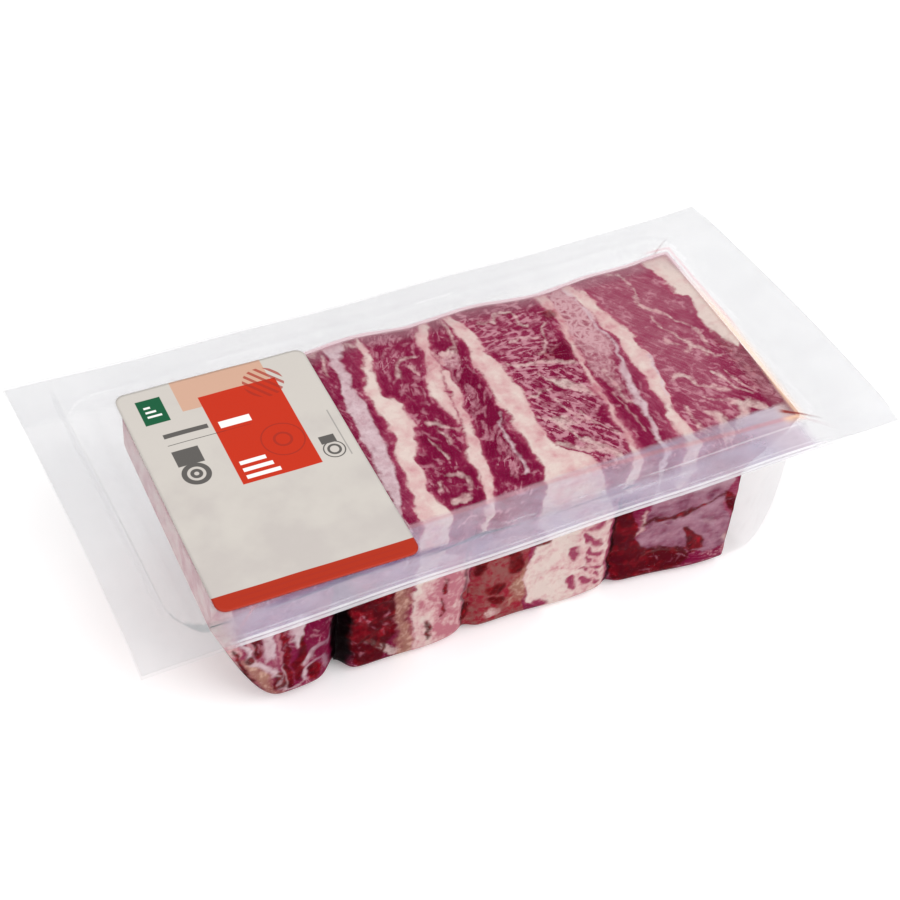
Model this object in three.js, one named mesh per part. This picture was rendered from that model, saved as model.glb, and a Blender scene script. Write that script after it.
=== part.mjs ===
// A vacuum pack of four beef short ribs: a flat clear lid film, a deep clear pocket that is drawn
// tight round the ribs, and a label on the lid. The pocket is clear and full, so each rib and the
// stretch of pocket round it is one solid. Only past the last rib is the pocket slack and clear, and
// that end of it is a solid too. Millimetres, +Z up. The origin is on the table, under the middle of
// the pack, and the ribs stand side by side along X.
import * as THREE from 'three';

// Driving dimensions
const packHeight = 78;
const touchGap = 0.3;

const lid = {
  halfLength: 153,
  halfDepth: 71.5,
  thickness: 0.6,
  backRightInset: 4.5,
  backBow: -4.4,
  backBowAt: 40,
  leftBow: -1.2,
  rightBow: 1.1,
  edgeSteps: 14,
};

const label = {
  width: 75,
  length: 110,
  thickness: 0.2,
  cornerRadius: 4,
  centre: { x: -82, y: -4.7 },
  turnDegrees: -1.6,
  cornerSteps: 5,
};

const pocket = {
  left: -136,
  right: 125,
  mouthFront: -60,
  mouthBack: 57,
  mouthCorner: 12,
  slackDepth: 20,
  leftSlope: 43,
  rightSlope: 17,
  rightSquareness: 2.2,
  rimDepth: 0.5,
  bottomRadius: 7,
  bottomSteps: 5,
  wallShares: [0, 0.06, 0.14, 0.24, 0.36, 0.5, 0.64, 0.77, 0.89, 1],
  floorSteps: 5,
};

// The ribs' cut faces under the film: the front face stands out further at the right
const meat = {
  front: -47.5,
  frontStep: -7,
  back: 48,
  backHollow: -3.5,
  crown: 1.6,
  ripple: 0.7,
};

// Left to right. Lift is how far a rib's bottom is off the table. The seam is the gap after that rib:
// its X at the mouth's front edge, how far it slants to the back edge, and the groove it makes
const ribs = [
  { name: 'pocket_rib_1', lift: 2.2, seam: { x: -71, slant: 19, depth: 5, width: 4.5 } },
  { name: 'pocket_rib_2', lift: 0.4, seam: { x: -17.5, slant: 22, depth: 1.6, width: 4 } },
  { name: 'pocket_rib_3', lift: 0, seam: { x: 46.5, slant: 12.5, depth: 1.6, width: 3.5 } },
  { name: 'pocket_rib_4', lift: 0 },
];
const seams = ribs.slice(0, -1).map((rib) => rib.seam);
const stationsPerRib = 13;
const stationsPerEnd = 9;

// The last rib ends short of the film. Below the cut face its end stands back, most at the front
const ribEnd = {
  x: 118.6,
  frontRound: 21,
  backRound: 7,
  roundDepth: 26,
  turnWidth: 38,
};

const filmMaterial = new THREE.MeshStandardMaterial({
  color: 0xeeeef2,
  roughness: 0.2,
  metalness: 0,
  transparent: true,
  opacity: 0.35,
});
const meatMaterials = [0x8e3550, 0x7a2038, 0x96485c, 0x8a3a52].map(
  (color) => new THREE.MeshStandardMaterial({ color, roughness: 0.3, metalness: 0 }),
);
const labelMaterial = new THREE.MeshStandardMaterial({ color: 0xdcdad3, roughness: 0.5, metalness: 0 });

const clamp01 = (value) => Math.min(1, Math.max(0, value));
const smooth = (value) => clamp01(value) ** 2 * (3 - 2 * clamp01(value));
const bell = (offset, width) => Math.exp(-((offset / width) ** 2));

function namedMesh(name, geometry, material) {
  const mesh = new THREE.Mesh(geometry, material);
  mesh.name = name;
  return mesh;
}

// How far the seams pull the film in at x
function seamInset(x) {
  return seams.reduce((sum, seam) => sum + seam.depth * bell(x - seam.x, seam.width), 0);
}

// How far the ribs at x slant from the mouth's front edge to its back edge
function slantAt(x) {
  const knots = [{ x: pocket.left, slant: 0 }, ...seams, { x: pocket.right, slant: 0 }];
  const next = Math.max(1, knots.findIndex((knot) => knot.x >= x));
  const from = knots[next - 1];
  const to = knots[next];
  return from.slant + (to.slant - from.slant) * ((x - from.x) / (to.x - from.x));
}

// The sloped left end and the steep slack right end
function depthShare(x) {
  const leftShare = clamp01((x - pocket.left) / pocket.leftSlope);
  const rightShare = clamp01((pocket.right - x) / pocket.rightSlope);
  const leftDrop = Math.sin((leftShare * Math.PI) / 2) ** 2;
  const power = pocket.rightSquareness;
  const rightDrop = (1 - (1 - rightShare) ** power) ** (1 / power);
  return leftDrop * rightDrop;
}

// How far the pocket's rounded corners take the walls in at x
function cornerInset(x) {
  const radius = pocket.mouthCorner;
  const toEnd = Math.min(radius, x - pocket.left, pocket.right - x);
  return radius - Math.sqrt(radius ** 2 - (radius - toEnd) ** 2);
}

// Crown and ripple of the cut faces, which fade out at the mouth and at the seams
function relief(x, depth, from, to) {
  const across = clamp01((x - from) / (to - from));
  const crown = meat.crown * 4 * across * (1 - across);
  const ripple = meat.ripple * Math.sin(x / 9 + depth / 17) * Math.sin(Math.PI * across);
  return crown + ripple;
}

// The Y of the front (side -1) or back (side 1) wall at a depth under the lid
function wallY(x, depth, side, span) {
  const mouth = side < 0 ? pocket.mouthFront : pocket.mouthBack;
  const meatFace = side < 0
    ? meat.front + meat.frontStep * smooth(x / pocket.right)
    : meat.back + meat.backHollow * bell(x - 60, 60);
  const tight = smooth(depth / pocket.slackDepth);
  const bulge = relief(x, depth, span.from, span.to) - seamInset(x);
  const faceY = meatFace + side * bulge;
  return mouth + (faceY - mouth) * tight - side * cornerInset(x);
}

// One closed outline across the pack: down the front wall, along the bottom, up the back wall
function sectionAt(x, span) {
  const top = packHeight - lid.thickness - touchGap;
  const lift = span.lift + seamInset(x);
  const fullDepth = top - lift;
  const depth = Math.max(pocket.rimDepth, fullDepth * depthShare(x));
  const radius = Math.min(pocket.bottomRadius, depth * 0.45);
  const wallEnd = depth - radius;
  const side = (sign) => {
    const points = pocket.wallShares.map((share) => [wallY(x, share * wallEnd, sign, span), top - share * wallEnd]);
    const foot = wallY(x, wallEnd, sign, span);
    for (let step = 1; step <= pocket.bottomSteps; step += 1) {
      const turn = (step / pocket.bottomSteps) * (Math.PI / 2);
      points.push([foot - sign * radius * (1 - Math.cos(turn)), top - wallEnd - radius * Math.sin(turn)]);
    }
    return points;
  };
  const front = side(-1);
  const back = side(1).reverse();
  const from = front[front.length - 1];
  const to = back[0];
  const floor = [];
  for (let step = 1; step < pocket.floorSteps; step += 1) {
    const share = step / pocket.floorSteps;
    floor.push([from[0] + (to[0] - from[0]) * share, from[1]]);
  }
  return [...front, ...floor, ...back].map(([y, z]) => leaned(x, y, z));
}

function leaned(x, y, z) {
  const lean = slantAt(x) / (pocket.mouthBack - pocket.mouthFront);
  return new THREE.Vector3(x + lean * (y - pocket.mouthFront), y, z);
}

// Where the last rib ends, at a place across the pack
function ribEndAt(y, z) {
  const towardsBack = smooth((y - meat.front) / ribEnd.turnWidth);
  const round = ribEnd.frontRound + (ribEnd.backRound - ribEnd.frontRound) * towardsBack;
  const depth = packHeight - lid.thickness - touchGap - z;
  return ribEnd.x - round * smooth(depth / ribEnd.roundDepth);
}

// The outline a share of the way from one X to another, where each X may change along the outline
function sectionBetween(fromAt, toAt, share, span) {
  return sectionAt(ribEnd.x, span).map(({ y, z }, number) => {
    const from = fromAt(y, z);
    return sectionAt(from + (toAt(y, z) - from) * share, span)[number];
  });
}

// A net of points over an outline's inside. Its rows join the two walls and have points between them,
// but for the first, which lies along the straight top edge. The last row is the floor
function faceNet(outline, faceAt) {
  const sideCount = (outline.length - pocket.floorSteps + 1) / 2;
  const rows = [];
  for (let row = 0; row < sideCount - 1; row += 1) {
    const front = outline[row];
    const back = outline[outline.length - 1 - row];
    const inner = [];
    for (let step = 1; row > 0 && step < pocket.floorSteps; step += 1) {
      const y = front.y + (back.y - front.y) * (step / pocket.floorSteps);
      inner.push(leaned(faceAt(y, front.z), y, front.z));
    }
    rows.push([front, ...inner, back]);
  }
  rows.push(outline.slice(sideCount - 1, sideCount + pocket.floorSteps));
  return rows;
}

// A closed solid through outlines that all have the same number of points. Its first and last faces
// are flat unless a net is given for them
function loft(sections, nets = {}) {
  const count = sections[0].length;
  const positions = sections.flat().flatMap((point) => point.toArray());
  const index = [];
  for (let row = 0; row < sections.length - 1; row += 1) {
    for (let column = 0; column < count; column += 1) {
      const next = (column + 1) % count;
      const here = row * count;
      const there = here + count;
      index.push(here + column, here + next, there + column);
      index.push(here + next, there + next, there + column);
    }
  }
  const face = (a, b, c, flip) => index.push(a, flip ? c : b, flip ? b : c);
  const cap = (row, flip) => {
    const outline = sections[row].map((point) => new THREE.Vector2(point.y, point.z));
    for (const [a, b, c] of THREE.ShapeUtils.triangulateShape(outline, [])) {
      face(row * count + a, row * count + b, row * count + c, flip);
    }
  };
  const netCap = (row, net, flip) => {
    const numbers = net.map((points) => points.map((point) => {
      const onOutline = sections[row].indexOf(point);
      if (onOutline >= 0) return row * count + onOutline;
      positions.push(...point.toArray());
      return positions.length / 3 - 1;
    }));
    const [top, second] = numbers;
    for (let along = 0; along < pocket.floorSteps; along += 1) {
      face(top[0], second[along], second[along + 1], flip);
    }
    face(top[0], second[pocket.floorSteps], top[1], flip);
    for (let down = 1; down < net.length - 1; down += 1) {
      for (let along = 0; along < pocket.floorSteps; along += 1) {
        const [a, b] = [numbers[down][along], numbers[down][along + 1]];
        const [c, d] = [numbers[down + 1][along], numbers[down + 1][along + 1]];
        face(a, c, b, flip);
        face(b, c, d, flip);
      }
    }
  };
  const last = sections.length - 1;
  if (nets.first) netCap(0, nets.first, true); else cap(0, true);
  if (nets.last) netCap(last, nets.last, false); else cap(last, false);
  const geometry = new THREE.BufferGeometry();
  geometry.setAttribute('position', new THREE.Float32BufferAttribute(positions, 3));
  geometry.setIndex(index);
  geometry.computeVertexNormals();
  return geometry;
}

// Stations along a rib, or along a share of it: close together at its seams, and down the slopes at
// the pack's ends
function stationsFor(from, to, slopeLeft, slopeRight) {
  const start = from + slopeLeft;
  const end = to - slopeRight;
  const stations = [];
  for (let step = 0; slopeLeft > 0 && step < stationsPerEnd; step += 1) {
    stations.push(from + slopeLeft * (step / stationsPerEnd));
  }
  for (let step = 0; step <= stationsPerRib; step += 1) {
    const share = (1 - Math.cos((step / stationsPerRib) * Math.PI)) / 2;
    stations.push(start + (end - start) * share);
  }
  for (let step = 1; slopeRight > 0 && step <= stationsPerEnd; step += 1) {
    stations.push(to - slopeRight * (1 - step / stationsPerEnd) ** 2);
  }
  return stations;
}

function spanOf(number) {
  return {
    lift: ribs[number].lift,
    from: number === 0 ? pocket.left : ribs[number - 1].seam.x,
    to: number === ribs.length - 1 ? pocket.right : ribs[number].seam.x,
  };
}

function makeRibs() {
  return ribs.slice(0, -1).map((rib, number) => {
    const span = spanOf(number);
    const start = number === 0 ? span.from : span.from + touchGap / 2;
    const stations = stationsFor(start, span.to - touchGap / 2, number === 0 ? pocket.leftSlope : 0, 0);
    const geometry = loft(stations.map((x) => sectionAt(x, span)));
    return namedMesh(rib.name, geometry, meatMaterials[number]);
  });
}

function makeLastRib() {
  const number = ribs.length - 1;
  const span = spanOf(number);
  const start = span.from + touchGap / 2;
  const stations = stationsFor(0, 1, 0, 0);
  const sections = stations.map((share) => sectionBetween(() => start, ribEndAt, share, span));
  const net = faceNet(sections[sections.length - 1], ribEndAt);
  return namedMesh(ribs[number].name, loft(sections, { last: net }), meatMaterials[number]);
}

function makePocketEnd() {
  const span = spanOf(ribs.length - 1);
  const startAt = (y, z) => ribEndAt(y, z) + touchGap;
  const stations = stationsFor(0, 1, 0, 0.8);
  const sections = stations.map((share) => sectionBetween(startAt, () => pocket.right, share, span));
  const net = faceNet(sections[0], startAt);
  return namedMesh('pocket_end', loft(sections, { first: net }), filmMaterial);
}

// The lid's edges are pulled a little by the tight film, so three of them are bowed
function makeLid() {
  const { halfLength, halfDepth } = lid;
  const backRight = halfLength - lid.backRightInset;
  const middleX = (backRight + halfLength) / 2;
  const outline = new THREE.Shape();
  outline.moveTo(-halfLength, -halfDepth);
  outline.lineTo(halfLength, -halfDepth);
  outline.quadraticCurveTo(middleX + 2 * lid.rightBow, 0, backRight, halfDepth);
  outline.quadraticCurveTo(2 * lid.backBowAt, halfDepth + 2 * lid.backBow, -halfLength, halfDepth);
  outline.quadraticCurveTo(-halfLength - 2 * lid.leftBow, 0, -halfLength, -halfDepth);
  const geometry = new THREE.ExtrudeGeometry(outline, {
    depth: lid.thickness,
    bevelEnabled: false,
    curveSegments: lid.edgeSteps,
  });
  const mesh = namedMesh('lid_film', geometry, filmMaterial);
  mesh.position.z = packHeight - lid.thickness;
  return mesh;
}

function makeLabel() {
  const x = label.width / 2;
  const y = label.length / 2;
  const radius = label.cornerRadius;
  const outline = new THREE.Shape();
  outline.moveTo(-x + radius, -y);
  outline.lineTo(x - radius, -y);
  outline.absarc(x - radius, -y + radius, radius, -Math.PI / 2, 0, false);
  outline.lineTo(x, y - radius);
  outline.absarc(x - radius, y - radius, radius, 0, Math.PI / 2, false);
  outline.lineTo(-x + radius, y);
  outline.absarc(-x + radius, y - radius, radius, Math.PI / 2, Math.PI, false);
  outline.lineTo(-x, -y + radius);
  outline.absarc(-x + radius, -y + radius, radius, Math.PI, Math.PI * 1.5, false);
  const geometry = new THREE.ExtrudeGeometry(outline, {
    depth: label.thickness,
    bevelEnabled: false,
    curveSegments: label.cornerSteps,
  });
  const mesh = namedMesh('label', geometry, labelMaterial);
  mesh.position.set(label.centre.x, label.centre.y, packHeight + touchGap);
  mesh.rotation.z = THREE.MathUtils.degToRad(label.turnDegrees);
  return mesh;
}

const pack = new THREE.Group();
pack.add(makeLid(), ...makeRibs(), makeLastRib(), makePocketEnd(), makeLabel());

export default pack;
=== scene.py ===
import bmesh
import bpy
import math
import numpy as np
from mathutils import Matrix, Vector


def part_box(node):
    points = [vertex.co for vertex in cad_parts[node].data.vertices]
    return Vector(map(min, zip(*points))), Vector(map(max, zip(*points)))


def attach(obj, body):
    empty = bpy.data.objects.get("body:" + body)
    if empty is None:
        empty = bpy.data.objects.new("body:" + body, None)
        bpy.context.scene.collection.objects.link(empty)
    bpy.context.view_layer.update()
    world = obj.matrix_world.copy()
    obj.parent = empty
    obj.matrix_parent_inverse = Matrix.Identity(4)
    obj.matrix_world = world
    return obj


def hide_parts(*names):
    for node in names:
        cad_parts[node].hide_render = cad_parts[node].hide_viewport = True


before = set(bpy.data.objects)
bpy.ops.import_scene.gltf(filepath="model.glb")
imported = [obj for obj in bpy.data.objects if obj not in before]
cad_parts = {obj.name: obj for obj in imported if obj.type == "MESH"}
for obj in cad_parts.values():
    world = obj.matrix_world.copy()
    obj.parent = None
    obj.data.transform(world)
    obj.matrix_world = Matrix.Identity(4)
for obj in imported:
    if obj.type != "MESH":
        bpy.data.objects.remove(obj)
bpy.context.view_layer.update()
mm = 0.001

# The pack is drawn in millimetres and every mesh is written in metres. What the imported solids
# can tell is read from them, and the rest follows the values that they were built from
lidLow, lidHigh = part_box("lid_film")
ribNodes = ["pocket_rib_1", "pocket_rib_2", "pocket_rib_3", "pocket_rib_4"]
firstLow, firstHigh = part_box(ribNodes[0])

pack = {
    "left": firstLow.x / mm,
    "right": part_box("pocket_end")[1].x / mm,
    "mouthFront": firstLow.y / mm,
    "mouthBack": firstHigh.y / mm,
    "top": firstHigh.z / mm,
    "lidTop": lidHigh.z / mm,
    "mouthCorner": 12,
    "slackDepth": 20,        # from here down the film lies tight on the meat
    "leftSlope": 43,
    "rightSlope": 17,
    "rightSquareness": 1.75,
    "rimDepth": 0.5,
    "bottomRadius": 7,
    "meatFront": -47.5,
    "frontStep": -7,         # how much further forward the last rib stands
    "meatBack": 48,
    "backHollow": -3.5,
    "hollowAt": 60,
    "hollowWidth": 60,
    "crown": 1.6,
    "ripple": 0.7,
    "rippleLength": 9,
    "rippleDrop": 17,
    "lifts": [2.2, 0.4, 0, 0],
    "seamX": [-71, -17.5, 46.5],       # at the mouth's front edge
    "seamSlant": [19, 22, 12.5],       # how far the seam has moved right at the back edge
    "seamDepth": [5, 1.6, 1.6],
    "seamWidth": [4.5, 4, 3.5],
    "bridgeDepth": 26,       # above this the film bridges the seams
    "footShare": 0.4,        # how much of a seam's groove the foot follows
}
ribEnds = [pack["left"], *pack["seamX"], pack["right"]]


def tint(red, green, blue):      # a colour as seen on a screen, turned into the renderer's light values
    parts = [channel / 255 for channel in (red, green, blue)]
    return tuple(p / 12.92 if p <= 0.04045 else ((p + 0.055) / 1.055) ** 2.4 for p in parts) + (1,)


def tints(colours):
    return {name: tint(*colour) for name, colour in colours.items()}


def clamp01(value):
    return np.clip(value, 0, 1)


def smooth(value):
    held = clamp01(value)
    return held * held * (3 - 2 * held)


def rise(value, start, width):      # 0 up to the start, 1 from a width further on
    return smooth((value - start) / width)


def bell(offset, width):
    return np.exp(-((offset / width) ** 2))


def seamInset(x):
    parts = zip(pack["seamX"], pack["seamDepth"], pack["seamWidth"])
    return sum(depth * bell(x - at, width) for at, depth, width in parts)


def backShare(y):      # 0 at the mouth's front edge and 1 at its back edge
    return (y - pack["mouthFront"]) / (pack["mouthBack"] - pack["mouthFront"])


def slantAt(x):
    return np.interp(x, ribEnds, [0, *pack["seamSlant"], 0])


def leaned(x, y):      # the seams slant, so what stands at x at the front edge is further right at the back
    return x + slantAt(x) * backShare(y)


def depthShare(x):
    leftShare = clamp01((x - pack["left"]) / pack["leftSlope"])
    rightShare = clamp01((pack["right"] - x) / pack["rightSlope"])
    power = pack["rightSquareness"]
    return np.sin(leftShare * math.pi / 2) ** 2 * (1 - (1 - rightShare) ** power) ** (1 / power)


def cornerInset(x):
    radius = pack["mouthCorner"]
    toEnd = np.clip(np.minimum(x - pack["left"], pack["right"] - x), 0, radius)
    return radius - np.sqrt(np.maximum(radius ** 2 - (radius - toEnd) ** 2, 0))


def meatFace(x, side):      # the cut faces at the front (side -1) and the back (side 1)
    front = pack["meatFront"] + pack["frontStep"] * smooth(x / pack["right"])
    back = pack["meatBack"] + pack["backHollow"] * bell(x - pack["hollowAt"], pack["hollowWidth"])
    return np.where(side < 0, front, back)


def ribNumber(x):
    return np.clip(np.searchsorted(ribEnds, x, side="right") - 1, 0, len(ribNodes) - 1)


def relief(x, depth):
    number = ribNumber(x)
    start, end = np.take(ribEnds, number), np.take(ribEnds, number + 1)
    across = clamp01((x - start) / (end - start))
    crown = pack["crown"] * 4 * across * (1 - across)
    wave = np.sin(x / pack["rippleLength"] + depth / pack["rippleDrop"])
    return crown + pack["ripple"] * wave * np.sin(math.pi * across)


def tightFace(x, depth, side):
    return meatFace(x, side) + side * (relief(x, depth) - seamInset(x))


def wallY(x, depth, side):
    mouth = np.where(side < 0, pack["mouthFront"], pack["mouthBack"])
    tight = smooth(depth / pack["slackDepth"])
    return mouth + (tightFace(x, depth, side) - mouth) * tight - side * cornerInset(x)


def fullDepth(x):      # from the film to the foot
    lift = np.take(pack["lifts"], ribNumber(x)) + seamInset(x) * pack["footShare"]
    return np.maximum(pack["rimDepth"], (pack["top"] - lift) * depthShare(x))


# Shader sums are written as plain expressions on wires
class Wire:
    def __init__(self, sheet, socket):
        self.sheet = sheet
        self.socket = socket

    def __add__(self, other):
        return self.sheet.sum("ADD", self, other)

    def __sub__(self, other):
        return self.sheet.sum("SUBTRACT", self, other)

    def __rsub__(self, other):
        return self.sheet.sum("SUBTRACT", other, self)

    def __mul__(self, other):
        return self.sheet.sum("MULTIPLY", self, other)

    def __or__(self, other):
        return self.sheet.sum("MAXIMUM", self, other)

    def __and__(self, other):
        return self.sheet.sum("MINIMUM", self, other)

    def __abs__(self):
        return self.sheet.sum("ABSOLUTE", self)

    __radd__ = __add__
    __rmul__ = __mul__
    __ror__ = __or__
    __rand__ = __and__


class Sheet:      # one material and its nodes
    def __init__(self, name):
        self.material = bpy.data.materials.new(name)
        self.material.use_nodes = True
        self.tree = self.material.node_tree
        self.tree.nodes.clear()
        self.place = 0
        self.output = self.tree.nodes.new("ShaderNodeOutputMaterial")

    def add(self, kind, settings, values, output=None):
        node = self.tree.nodes.new(kind)
        self.place += 1
        node.location = (-1600 + 180 * (self.place % 12), 900 - 200 * (self.place // 12))
        for key, value in settings.items():
            if key == "stops":
                self.setStops(node.color_ramp, value)
            else:
                setattr(node, key, value)
        for key, value in values.items():
            socket = self.findSocket(node.inputs, key)
            if isinstance(value, Wire):
                self.tree.links.new(value.socket, socket)
            else:
                socket.default_value = value
        found = self.findSocket(node.outputs, output) if output else None
        shown = found or next(socket for socket in node.outputs if socket.enabled)
        return Wire(self, shown)

    def findSocket(self, sockets, key):
        if isinstance(key, int):
            return sockets[key]
        for socket in sockets:
            if socket.identifier == key:
                return socket
        return sockets[key]

    def setStops(self, ramp, stops):
        while len(ramp.elements) < len(stops):
            ramp.elements.new(0.5)
        for element, (place, colour) in zip(ramp.elements, stops):
            element.position = place
            element.color = colour

    def sum(self, operation, *values):
        return self.add("ShaderNodeMath", {"operation": operation}, dict(enumerate(values)))

    def position(self):      # object coordinates, in millimetres
        return self.scaled(self.add("ShaderNodeTexCoord", {}, {}, "Object"), (1 / mm,) * 3)

    def vectors(self, operation, *values):
        return self.add("ShaderNodeVectorMath", {"operation": operation}, dict(enumerate(values)))

    def scaled(self, vector, factors):
        return self.vectors("MULTIPLY", vector, factors)

    def turned(self, vector, degrees):      # turned about Z
        values = {"Vector": vector, "Axis": (0, 0, 1), "Angle": math.radians(degrees)}
        return self.add("ShaderNodeVectorRotate", {}, values)

    def parts(self, vector):
        node = self.add("ShaderNodeSeparateXYZ", {}, {"Vector": vector}).socket.node
        return [Wire(self, socket) for socket in node.outputs]

    def painted(self, name):      # a value painted on the mesh
        return self.add("ShaderNodeAttribute", {"attribute_name": name}, {}, "Fac")

    def noise(self, vector, scale, detail=2, roughness=0.5):      # runs from about -0.5 to 0.5
        values = {"Vector": vector, "Scale": scale, "Detail": detail, "Roughness": roughness}
        return self.add("ShaderNodeTexNoise", {}, values, "Fac") - 0.5

    def swayed(self, vector, scale, reach):      # pushed about by a smooth noise
        values = {"Vector": vector, "Scale": scale, "Detail": 1}
        push = self.add("ShaderNodeTexNoise", {}, values, "Color")
        centred = self.vectors("MULTIPLY_ADD", push, (reach,) * 3, (-reach / 2,) * 3)
        return self.vectors("ADD", vector, centred)

    def combined(self, x, y, z):
        return self.add("ShaderNodeCombineXYZ", {}, {0: x, 1: y, 2: z})

    def cellEdges(self, vector, scale, dimensions="3D"):      # the distance to the nearest cell's edge
        settings = {"voronoi_dimensions": dimensions, "feature": "DISTANCE_TO_EDGE"}
        return self.add("ShaderNodeTexVoronoi", settings, {"Vector": vector, "Scale": scale}, "Distance")

    def step(self, value, low, high):      # 0 below low, 1 above high
        values = {"Value": value, "From Min": low, "From Max": high}
        return self.add("ShaderNodeMapRange", {"interpolation_type": "SMOOTHSTEP"}, values)

    def near(self, value, half, end):      # 1 where a value is close to nothing, 0 past the end
        return 1 - self.step(abs(value), half, end)

    def ramp(self, value, stops):
        return self.add("ShaderNodeValToRGB", {"stops": stops}, {"Fac": value}, "Color")

    def blend(self, first, second, share):
        values = {"Factor_Float": share, "A_Color": first, "B_Color": second}
        return self.add("ShaderNodeMix", {"data_type": "RGBA"}, values, "Result_Color")

    def layered(self, colour, colours, layers):      # layers as (name, share), the last one on top
        for name, share in layers:
            colour = self.blend(colour, colours[name], share)
        return colour

    def bump(self, height, strength, distance):
        values = {"Height": height, "Strength": strength, "Distance": distance}
        return self.add("ShaderNodeBump", {}, values)

    def surface(self, values):
        shader = self.add("ShaderNodeBsdfPrincipled", {}, values)
        self.tree.links.new(shader.socket, self.output.inputs["Surface"])
        return self.material


# Meshes
def startPiece(name):
    piece = bpy.context.object
    piece.name = name
    piece.data.name = name
    bpy.ops.object.transform_apply(location=True, rotation=True, scale=True)
    return piece


def deselect():
    if bpy.context.object and bpy.context.object.mode != "OBJECT":
        bpy.ops.object.mode_set(mode="OBJECT")
    bpy.ops.object.select_all(action="DESELECT")


def startSheet(name, columns, rows):      # a flat grid from -1 to 1
    deselect()
    bpy.ops.mesh.primitive_grid_add(x_subdivisions=columns, y_subdivisions=rows, size=2 * mm,
                                    location=(0, 0, 0))
    return startPiece(name)


def startEditing(kind):      # edit mode with nothing selected
    bpy.ops.object.mode_set(mode="EDIT")
    bpy.ops.mesh.select_mode(type=kind)
    bpy.ops.mesh.select_all(action="DESELECT")


def splitAlong(piece, axis, cuts):      # cuts every edge that runs along one axis
    for count in cuts:
        startEditing("EDGE")
        mesh = bmesh.from_edit_mesh(piece.data)
        for edge in mesh.edges:
            run = edge.verts[1].co - edge.verts[0].co
            edge.select = abs(run[axis]) > 0.9 * run.length
        bmesh.update_edit_mesh(piece.data)
        bpy.ops.mesh.subdivide(number_cuts=count)
    bpy.ops.object.mode_set(mode="OBJECT")


def deleteSome(piece, kind, chosen):      # deletes the faces or vertices that a list of yes and no names
    startEditing(kind)
    mesh = bmesh.from_edit_mesh(piece.data)
    elements = mesh.verts if kind == "VERT" else mesh.faces
    for element, yes in zip(elements, chosen):
        element.select = bool(yes)
    bmesh.update_edit_mesh(piece.data)
    bpy.ops.mesh.delete(type=kind)
    bpy.ops.object.mode_set(mode="OBJECT")


def readPoints(piece):
    flat = np.empty(len(piece.data.vertices) * 3)
    piece.data.vertices.foreach_get("co", flat)
    return flat.reshape(-1, 3) / mm


def writePoints(piece, points):
    piece.data.vertices.foreach_set("co", (np.asarray(points) * mm).ravel())
    piece.data.update()


def paint(piece, name, values):
    layer = piece.data.attributes.new(name, "FLOAT", "POINT")
    layer.data.foreach_set("value", np.asarray(values, dtype=np.float32))


def thicken(piece, thickness, offset):
    modifier = piece.modifiers.new("thickness", "SOLIDIFY")
    modifier.thickness = thickness * mm
    modifier.offset = offset
    bpy.context.view_layer.objects.active = piece
    bpy.ops.object.modifier_apply(modifier="thickness")


def keepCrisp(degrees):      # edges that turn by more stay crisp under smooth shading
    startEditing("EDGE")
    bpy.ops.mesh.edges_select_sharp(sharpness=math.radians(degrees))
    bpy.ops.mesh.mark_sharp()
    bpy.ops.object.mode_set(mode="OBJECT")


def finishPiece(piece, material, nodes):
    piece.data.materials.clear()
    piece.data.materials.append(material)
    piece.data.polygons.foreach_set("use_smooth", [True] * len(piece.data.polygons))
    piece.data.update()
    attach(piece, "root")
    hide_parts(*nodes)
    print("made", piece.name, len(piece.data.polygons), "faces")


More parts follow.
